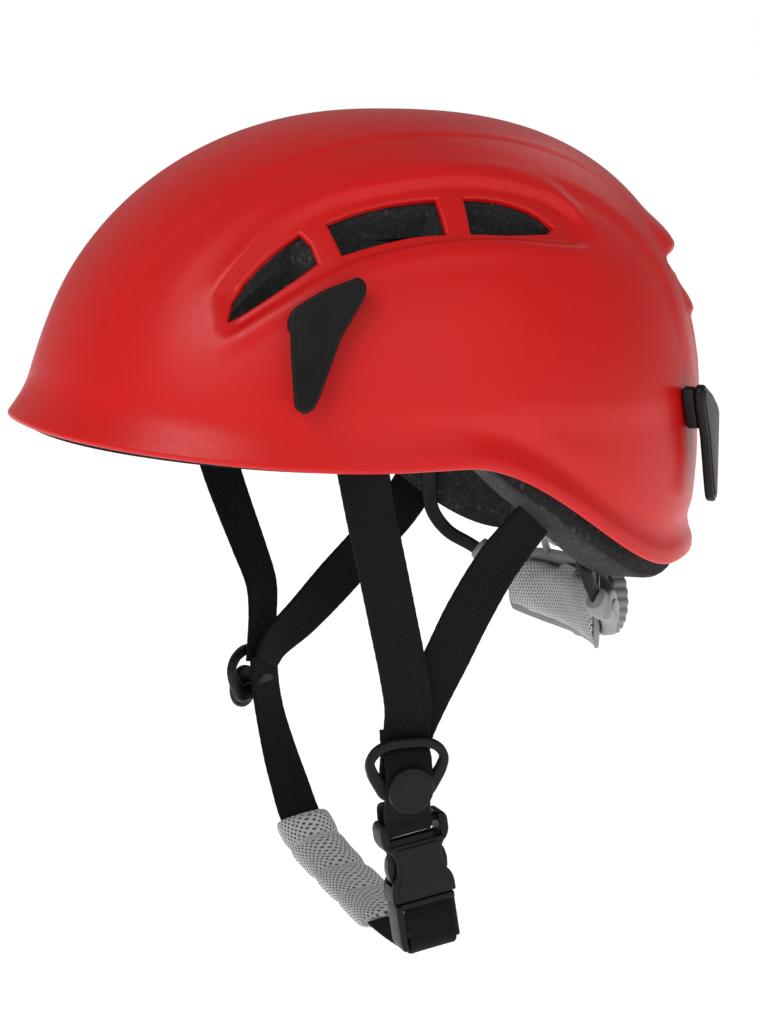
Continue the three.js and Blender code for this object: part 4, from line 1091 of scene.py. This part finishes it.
def build_divider(side, place):
    ring = moulded("ring", [DIVIDER, DIVIDER_EYE], 0, 3.7, 1.15, place, 4)
    disc = moulded("disc", [circle(9.5, (0, -7.6))], 5.4, 8.1, 0.9, place, 4)
    button = moulded("button", [circle(7.6, (0, -7.6))], 7.6, 8.35, 0.25, place)
    back = moulded("back", [circle(7.5, (0, -7.6))], -5.4, -3.9, 0.5, place)
    post = moulded("post", [circle(3.2, (0, -7.6), 32)], -4.5, 6, 0.2, place)
    dress(ring, "black_plastic", f"divider_{side}", f"strap_divider_{side}")
    ring.name = f"divider_ring_{side}"
    disc = joined(f"divider_rivet_{side}", disc, button, back, post)
    dress(sharpen(disc, 40), "black_plastic", f"divider_{side}", f"divider_disc_{side}")


build_divider("left", frame_of((0, 1, 0), (0.04, 0, 1), (1, 0, -0.04), (73.9, -14, -226.5)))
build_divider("right", frame_of((-0.6, 0.8, 0), (0, 0, 1), (-0.8, -0.6, 0), (-74.2, -27.9, -219)))

# ------------------------------------------------------------------ side-release buckle
TILT = math.radians(9)
BUCKLE = frame_of((0, math.cos(TILT), math.sin(TILT)), (0, -math.sin(TILT), math.cos(TILT)), (1, 0, 0),
                  (64, -8.5, -250.5))


def both_sides(right_half):
    """An outline from its right half, listed from the top down."""
    return right_half + [(-x, y) for x, y in reversed(right_half)]


def slab(half, top, bottom, radius):
    """The outline of a bar across the buckle."""
    return rounded([(half, top), (half, bottom), (-half, bottom), (-half, top)], radius)


def build_socket():
    waist = [
        (13.0, -9.6), (10.6, -12.6), (9.7, -16.5), (10.2, -21.5), (12.9, -25.2), (13.7, -28.5),
        (13.7, -33)]
    front = rounded(both_sides([(12.2, -8.6)] + waist), [1] + [2] * 6 + [0.8] + [0.8] + [2] * 6 + [1])
    ears = rounded([
        (10.9, 0.6), (13.2, 0.6), (14.6, -1.6), (14.6, -7.6), (12.4, -11.6), (-12.4, -11.6),
        (-14.6, -7.6), (-14.6, -1.6), (-13.2, 0.6), (-10.9, 0.6), (-10.9, -9.1), (10.9, -9.1)],
                   [0.8, 1.6, 2.4, 3, 2, 2, 3, 2.4, 1.6, 0.8, 0.6, 0.6])
    bar = slab(11.6, -0.7, -3.5, 1)
    panel = rounded(both_sides([
        (9.6, -10.4), (8.4, -14), (7.9, -17.5), (8.5, -22.3), (10.9, -26.4), (11.2, -31.6)]),
                    [1.5, 2, 2, 2, 2, 1.2, 1.2, 2, 2, 2, 2, 1.5])
    parts = [
        moulded("ears", [ears], -5.5, 5.5, 1.1, BUCKLE, 4),
        moulded("bar", [bar], -2.1, 2.1, 0.9, BUCKLE),
        moulded("front", [front], 3.1, 5.6, 0.8, BUCKLE, 4),
        moulded("rear", [front], -5.6, -3.1, 0.8, BUCKLE, 4),
        moulded("panel", [panel], 5.2, 6.15, 0.42, BUCKLE),
        moulded("panel", [panel], -6.15, -5.2, 0.42, BUCKLE),
    ]
    for side in (-1, 1):
        rail = [(side * 11.7, -25.6), (side * 12.9, -25.6), (side * 13.6, -28.5), (side * 13.6, -32.9),
                (side * 11.7, -32.9)]
        parts.append(moulded("rail", [rounded(rail, 0.6)], -4.6, 4.6, 0.4, BUCKLE))
    return sharpen(joined("buckle_housing", *parts), 40)


def build_plug():
    head = slab(12.9, -33.4, -36.6, 1)
    grip = rounded([
        (-10.5, -33.8), (-10.3, -53.2), (-12.6, -53.2), (-13.4, -50), (-13.3, -36), (-12.8, -33.8)], 0.9)
    far = rounded([(10.9, -34), (12.9, -34), (12.9, -53), (10.9, -53)], 0.8)
    bar = slab(12.4, -49.4, -52.6, 1.2)
    tongue = slab(2.2, -12.5, -34, 0.8)
    parts = [
        moulded("head", [head], -5.3, 5.3, 1.0, BUCKLE, 4),
        moulded("grip", [grip], -5.0, 6.6, 0.9, BUCKLE, 4),
        moulded("far", [far], -5.0, 4.6, 0.8, BUCKLE),
        moulded("bar", [bar], -3.4, 3.4, 1.2, BUCKLE),
        moulded("tongue", [tongue], -1.7, 1.7, 0.5, BUCKLE),
    ]
    return sharpen(joined("buckle_insert", *parts), 40)


def build_prong(side):
    outline = [
        (7.3, -33.4), (10.1, -33.4), (10.5, -27), (12.6, -24), (13.1, -19.5), (12.3, -15.2),
        (9.9, -12.4), (7.5, -12.8)]
    outline = rounded([(side * x, z) for x, z in outline], 1.5)
    prong = moulded("prong", [outline], -2.7, 2.7, 0.9, BUCKLE, 4)
    prong.name = "buckle_arm_front" if side < 0 else "buckle_arm_rear"
    return prong


dress(build_socket(), "black_plastic", "helmet", "buckle_socket")
dress(build_plug(), "black_plastic", "plug", "buckle_plug")
dress(build_prong(-1), "gloss_edge", "prong_front", "buckle_prong_front")
dress(build_prong(1), "gloss_edge", "prong_rear", "buckle_prong_rear")


# ------------------------------------------------------------------ nape cradle
HEAD_CENTRE = 8  # the y of the upright axis that the cradle is bent round
CRADLE_HEIGHT = -180
PLATE_FACE = 85.7  # from that axis to the face of the cradle's plate


def behind(turn, z, radius):
    """Upright cylinders round the back of the head; turn 0 is the middle of the back."""
    angle = np.radians(turn)
    y = HEAD_CENTRE + radius * np.cos(angle)
    return np.stack([radius * np.sin(angle), y, z + 0 * angle + 0 * radius], -1)


def rounded_section(count=28, power=4.0):
    """Points round a unit square with rounded corners."""
    t = np.arange(count) / count * 2 * math.pi
    c, s = np.cos(t), np.sin(t)
    return np.sign(c) * np.abs(c) ** (2 / power), np.sign(s) * np.abs(s) ** (2 / power)


def bar_along(name, route, width, thickness, spacing=1.2, power=4.0):
    """A moulded bar along a route; its width may be a function of the share of its length."""
    stops, centre, _, side, face = path_frames(route, spacing)
    share = stops / stops[-1]
    w = width(share) if callable(width) else np.full(len(share), float(width))
    ends = np.minimum(share, 1 - share) * stops[-1]
    close = np.sqrt(np.clip(1 - (1 - np.clip(ends / 1.2, 0, 1)) ** 2, 0.04, 1))
    a, b = rounded_section(power=power)
    reach = a * (w * close)[:, None] / 2, b * (thickness * close)[:, None] / 2
    return facing_out(tube_grid(name, sweep(centre, side, face, *reach)))


def arc_band(name, turns, half, rise, inner, outer, power=5.0, steps=72):
    """A band bent round the back of the head, its edges rounded and its ends closed in."""
    turn = np.linspace(-turns, turns, steps + 1)
    close = np.clip((turns - np.abs(turn)) / 2.2, 0, 1)
    close = np.sqrt(1 - (1 - close) ** 2 * 0.97)
    a, b = rounded_section(32, power)
    middle, reach = (inner + outer) / 2, (outer - inner) / 2
    height = CRADLE_HEIGHT + rise(turn)[:, None] + (half(turn) * close)[:, None] * a[None]
    radius = middle + reach * b[None] * (0.4 + 0.6 * close)[:, None]
    turn = np.broadcast_to(turn[:, None], height.shape)
    return facing_out(tube_grid(name, behind(turn, height, radius)))


WHEEL = frame_of((-1, 0, 0), (0, 0, 1), (0, 1, 0), (0, 0, CRADLE_HEIGHT))


def build_cradle_frame():
    def plate_band(name, turns, half, inner, outer):
        return arc_band(name, turns, lambda t: half - 4.2 * (np.abs(t) / 31.5) ** 3,
                        lambda t: 1 + 0 * t, inner, outer)

    plate = plate_band("plate", 31.5, 17.2, 86, 88.4)
    rim = plate_band("rim", 30.6, 16.0, 85.9, 86.5)
    across = (1, 0, 0)
    stem = bar_along("stem", [
        ((0, 83.4, -153.5), across), ((0, 86, -143), across), ((0, 92, -124), across),
        ((0, 98, -104), across), ((0, 99.4, -96.4), across)],
                     lambda s: 7.4 - 1.4 * np.sin(np.pi * s), 2.8)
    legs = [bar_along("leg", [((side * -1.5, 83.8, -151.6), (0, 0, 1)), ((side * 9, 84.4, -152.5), (0, 0, 1)),
                              ((side * 18, 87.2, -156.4), (side * 0.4, 0, 1)),
                              ((side * 25, 92.2, -163.6), (side * 0.7, 0, 1))], 5.6, 3.0) for side in (-1, 1)]
    web = bar_along("web", [((0, 84.2, -156.4), across), ((0, 83.6, -149), across)],
                    lambda s: 15 - 8 * s, 2.4)
    eye = moulded("eye", [circle(3.6, steps=32), circle(1.9, steps=24)], -3.5, 3.5, 0.5,
                  frame_of((0, 1, 0), (0, 0, 1), (1, 0, 0), (0, 99, -98)))
    return sharpen(joined("cradle_yoke", plate, rim, stem, *legs, web, eye), 45)


def housing_rise(turn):
    return 9 * smooth(np.abs(turn), 20, 39)


def build_housing():
    band = arc_band("band", 41.5, lambda t: 11.4 - 5.2 * smooth(np.abs(t), 12, 39),
                    housing_rise, 88.7, 95.6)
    rib = arc_band("rib", 38, lambda t: 5.4 - 3.0 * smooth(np.abs(t), 14, 38),
                   housing_rise, 94.8, 96.5)
    boss = moulded("boss", [circle(17.0, steps=72)], 94.5, 103.8, 0.9, WHEEL)
    collar = moulded("collar", [circle(15.2, steps=64)], 103, 104.6, 0.3, WHEEL)
    sleeves = [bar_along("sleeve", [(behind(side * 34, -171.6, 92.2), (0, 0, 1)),
                                    ((side * 57.9, 78.6, -170.8), (0, 0.1, 1)),
                                    ((side * 62, 73.8, -166.4), (side * -0.25, 0.5, 1))],
                         lambda s: 13.5 - 3.5 * s, 7.6, 0.8, 2.6) for side in (-1, 1)]
    return sharpen(joined("adjuster_case", band, rib, boss, collar, *sleeves), 45)


def build_wheel():
    turns = np.arange(288) / 288 * 2 * math.pi
    radius = 17.5 - 0.85 * (0.5 - 0.5 * np.cos(24 * turns)) ** 1.6
    rim = [(r * math.cos(t), r * math.sin(t)) for r, t in zip(radius, turns)]
    tread = moulded("tread", [rim, circle(12.4)], 105, 111.6, 0.9, WHEEL, 4)
    web = moulded("web", [circle(12.9), circle(6.3)], 105.6, 109.6, 0.4, WHEEL)
    spokes = []
    for k in range(6):
        a = k * math.pi / 3
        c, s = math.cos(a), math.sin(a)
        shape = rounded([(r * c - w * s, r * s + w * c)
                         for r, w in ((5.6, 1.1), (5.6, -1.1), (12.9, -1.5), (12.9, 1.5))], 0.3)
        spokes.append(moulded("spoke", [shape], 109.2, 110.9, 0.4, WHEEL))
    hub = moulded("hub", [circle(6.9), circle(6.1)], 105.6, 111.3, 0.25, WHEEL)
    return sharpen(joined("adjuster_knob", tread, web, hub, *spokes), 40)


def build_cap():
    disc = moulded("disc", [circle(5.9)], 110.6, 112.3, 0.6, WHEEL, 4)
    boss = moulded("boss", [circle(3.4)], 112.0, 112.8, 0.35, WHEEL)
    return sharpen(joined("knob_cap", disc, boss), 40)


dress(build_cradle_frame(), "grey_plastic", "cradle", "cradle_frame")
dress(build_housing(), "grey_plastic", "cradle", "ratchet_housing")
dress(build_wheel(), "grey_plastic", "wheel", "adjuster_wheel")
dress(build_cap(), "grey_plastic", "wheel", "wheel_cap")

CRADLE_ARMS = {
    "left": [
        ((50.9, 83.4, -172.5), (0, 0, 1)), ((57.9, 78.2, -170.8), (0, 0.1, 1)),
        ((62.6, 72.5, -163.5), (-0.3, 0.7, 1)), ((66, 66.5, -152), (-0.5, 1, 0.5)),
        ((68.3, 60.2, -136), (-0.65, 1, 0.2)), ((70.5, 54, -118), (-0.7, 1, 0)),
        ((71.5, 51, -108), (-0.7, 1, 0))],
    "right": [((-50.9, 83.4, -172.5), (0, 0, 1)), ((-57.9, 78.2, -170.8), (0, 0.1, 1)),
              ((-64, 71.5, -166), (0.2, 0.4, 1)), ((-69.6, 62.5, -160), (0.3, 0.7, 1)),
              ((-71.6, 55.8, -150), (0.5, 1, 0.7)), ((-71.2, 54.4, -137), (0.6, 1, 0.3)),
              ((-70.5, 54, -118), (0.7, 1, 0)), ((-71.5, 51, -108), (0.7, 1, 0))],
}
for side, route in CRADLE_ARMS.items():
    arm = bar_along(f"cradle_strip_{side}", route, lambda s: 5.6 + 1.4 * s, 1.9, 1.5)
    dress(arm, "black_plastic", None, f"cradle_arm_{side}")
    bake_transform(arm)


# ------------------------------------------------------------------ padding
def puffed(obj, pressure, cap, voxel=4.5, keep=None):
    """Inflates a pad as cloth, moving no point further than cap mm, and holds it where keep says."""
    remesh = obj.modifiers.new("remesh", "REMESH")
    remesh.mode = "VOXEL"
    remesh.voxel_size = voxel * MM
    apply_modifiers(obj)
    rest = np.array([v.co for v in obj.data.vertices])
    cloth = obj.modifiers.new("cloth", "CLOTH")
    cloth.settings.use_pressure = True
    cloth.settings.uniform_pressure_force = pressure
    cloth.settings.effector_weights.gravity = 0
    cloth.point_cache.frame_start, cloth.point_cache.frame_end = 1, 20
    for step in range(1, 21):
        bpy.context.scene.frame_set(step)
    swollen = obj.evaluated_get(bpy.context.evaluated_depsgraph_get()).data
    moved = np.array([v.co for v in swollen.vertices]) - rest
    obj.modifiers.clear()
    bpy.context.scene.frame_set(1)
    reach = np.linalg.norm(moved, axis=1, keepdims=True)
    rest = rest + moved * np.minimum(1, cap * MM / np.maximum(reach, 1e-9))
    if keep is not None:
        rest = keep(rest / MM) * MM
    obj.data.vertices.foreach_set("co", rest.ravel())
    obj.data.update()
    finer = obj.modifiers.new("finer", "SUBSURF")
    finer.levels = finer.render_levels = 1
    apply_modifiers(obj)
    smoothed(obj.data)
    return obj


def pillow(name, point_at, u_range, v_range, low, high, steps=(40, 16)):
    """A closed pad over a grid of a curved surface, thinner towards its edges."""
    u = np.linspace(*u_range, steps[0] + 1)
    v = np.linspace(*v_range, steps[1] + 1)
    su = 1 - np.abs(np.linspace(-1, 1, steps[0] + 1)) ** 8
    sv = 1 - np.abs(np.linspace(-1, 1, steps[1] + 1)) ** 4
    fat = np.sqrt(np.maximum(su[:, None] * sv[None], 0))
    grid_u, grid_v = np.meshgrid(u, v, indexing="ij")
    upper = point_at(grid_u, grid_v, low + (high - low) * (0.25 + 0.75 * fat))
    lower = point_at(grid_u, grid_v, np.full(fat.shape, low))
    nu, nv = steps[0] + 1, steps[1] + 1
    points = np.concatenate([lower.reshape(-1, 3), upper.reshape(-1, 3)])
    faces = []
    for i in range(nu - 1):
        for j in range(nv - 1):
            a = i * nv + j
            faces.append((a, a + 1, a + nv + 1, a + nv))
            faces.append(tuple(nu * nv + c for c in (a, a + nv, a + nv + 1, a + 1)))
    border = ([i * nv for i in range(nu)] + [(nu - 1) * nv + j for j in range(1, nv)]
              + [i * nv + nv - 1 for i in range(nu - 2, -1, -1)] + [j for j in range(nv - 2, 0, -1)])
    for a, b in zip(border, border[1:] + border[:1]):
        faces.append((a, b, b + nu * nv, a + nu * nv))
    return facing_out(new_mesh(name, points, faces))


def on_cavity(degrees, z, depth):
    return polar(degrees, cavity_radius(degrees, z) - depth, z)


def turn_and_radius(points):
    degrees = np.degrees(np.arctan2(points[:, 0], -points[:, 1]))
    return degrees, np.hypot(points[:, 0], points[:, 1])


def inside_cavity(points):
    degrees, radius = turn_and_radius(points)
    limit = cavity_radius(degrees, points[:, 2]) - 0.2
    shrink = np.minimum(1, limit / np.maximum(radius, 1e-6))
    return np.column_stack([points[:, :2] * shrink[:, None], points[:, 2]])


def in_front_of_plate(points):
    angle = np.arctan2(points[:, 0], points[:, 1] - HEAD_CENTRE)
    radius = np.minimum(np.hypot(points[:, 0], points[:, 1] - HEAD_CENTRE), PLATE_FACE)
    return behind(np.degrees(angle), points[:, 2], radius)


PAD_TURNS = {"brow_pad": (-41, 41), "side_pad_left": (73, 105), "side_pad_right": (255, 287)}
for name, turn in PAD_TURNS.items():
    low = -85 if name == "brow_pad" else -83
    pad = pillow(f"{name}_cushion", on_cavity, turn, (low, -63), 0.8, 5.0)
    pad = puffed(pad, 3.0, 1.6, 3.5, inside_cavity)
    dress(pad, "dark_pad", "helmet", name)


def ceiling(degrees, radius, depth):
    """The height that lies depth below the top of the liner's hollow."""
    share = np.clip(radius / superellipse(*CAVITY, degrees), 0, 1)
    return CAVITY_BASE + CAVITY_RISE * np.sqrt(1 - share**2) - depth


def under_crown(degrees, share, depth):
    radius = superellipse(62, 62, 40, 2.4, degrees) * share
    return polar(degrees, radius, ceiling(degrees, radius, depth))


def build_crown_pad(count=48):
    """A domed oval pad with a rolled edge."""
    degrees = np.arange(count) * 360 / count
    shares = np.linspace(0.08, 0.98, 11)
    rings = [under_crown(degrees, s, np.full(count, 2.2)) for s in shares]
    rings += [under_crown(degrees, s, np.full(count, 2.6 + 3.2 * math.sqrt(1 - s**6)))
              for s in shares[::-1]]
    return facing_out(tube_grid("crown_cushion", rings))


def below_crown_wall(points):
    degrees, radius = turn_and_radius(points)
    height = np.minimum(points[:, 2], ceiling(degrees, radius, 1.8))
    return np.column_stack([points[:, :2], height])


crown = puffed(build_crown_pad(), 3.0, 1.4, 4.0, below_crown_wall)
dress(crown, "dark_pad", "helmet", "crown_pad")


def nape_point(turn, share, depth):
    half = 14.6 - 3.4 * (turn / 32) ** 2
    return behind(turn, CRADLE_HEIGHT + 0.5 + share * half, PLATE_FACE - depth)


nape = pillow("nape_cushion", nape_point, (-31.5, 31.5), (-1, 1), 0.1, 5.2)
nape = puffed(nape, 4.0, 2.0, 3.0, in_front_of_plate)
flat = np.array([v.co for v in nape.data.vertices]) / MM
lay_weave(nape, 85 * np.arctan2(flat[:, 0], flat[:, 1] - HEAD_CENTRE), flat[:, 2])
dress(nape, "grey_mesh", "cradle", "nape_pad")

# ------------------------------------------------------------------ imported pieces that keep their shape
KEPT = {
    "black_plastic": [f"strap_anchor_{c}" for c in STRAPS] + [
        "temple_anchor_left", "temple_anchor_right", "yoke_anchor", "rack_left", "rack_right", "pinion"],
    "steel": ["detent_ring", "axle_screw", "yoke_pin"],
}
for look, names in KEPT.items():
    for name in names:
        node = shown[name]
        node.data.materials.clear()
        node.data.materials.append(LOOKS[look])


# ------------------------------------------------------------------ floor and light
FLOOR_HEIGHT = -0.345  # metres


def add_light(name, place, aim, size, watts, colour=(1, 1, 1)):
    data = bpy.data.lights.new(name, "AREA")
    data.shape = "RECTANGLE"
    data.size, data.size_y = size
    data.energy = watts
    data.color = colour
    lamp = in_scene(name, data)
    lamp.location = place
    lamp.rotation_mode = "QUATERNION"
    lamp.rotation_quaternion = (Vector(aim) - Vector(place)).to_track_quat("-Z", "Y")


def add_studio():
    scene = bpy.context.scene
    scene.view_settings.view_transform = "Standard"
    world = bpy.data.worlds.new("studio")
    world.use_nodes = True
    backdrop = world.node_tree.nodes["Background"]
    backdrop.inputs["Color"].default_value = (1, 1, 1, 1)
    seen = world.node_tree.nodes.new("ShaderNodeLightPath").outputs["Is Camera Ray"]
    strength = world.node_tree.nodes.new("ShaderNodeMapRange")
    strength.inputs["To Min"].default_value = 0.3
    strength.inputs["To Max"].default_value = 1.0
    world.node_tree.links.new(seen, strength.inputs["Value"])
    world.node_tree.links.new(strength.outputs["Result"], backdrop.inputs["Strength"])
    scene.world = world
    corners = [(x, y, FLOOR_HEIGHT) for x, y in ((-40, -40), (40, -40), (40, 40), (-40, 40))]
    floor = new_mesh("floor", corners, [(0, 1, 2, 3)], 1)
    pale = Nodes("floor", 0.9)
    pale.shader.inputs["Emission Color"].default_value = (1, 1, 1, 1)
    pale.shader.inputs["Emission Strength"].default_value = 0.77
    floor.data.materials.append(pale.finish((0.8, 0.8, 0.8)))
    middle = (0, 0, -0.1)
    add_light("key", (0.75, -1.1, 0.95), middle, (0.9, 0.7), 9)
    add_light("side", (1.5, 0.25, 0.45), middle, (0.9, 0.9), 2.0)
    add_light("back", (-0.7, 1.1, 0.9), middle, (0.9, 0.7), 1.4)
    add_light("low", (0.7, -0.9, -0.25), (0, 0, -0.2), (0.9, 0.25), 0.6)


add_studio()
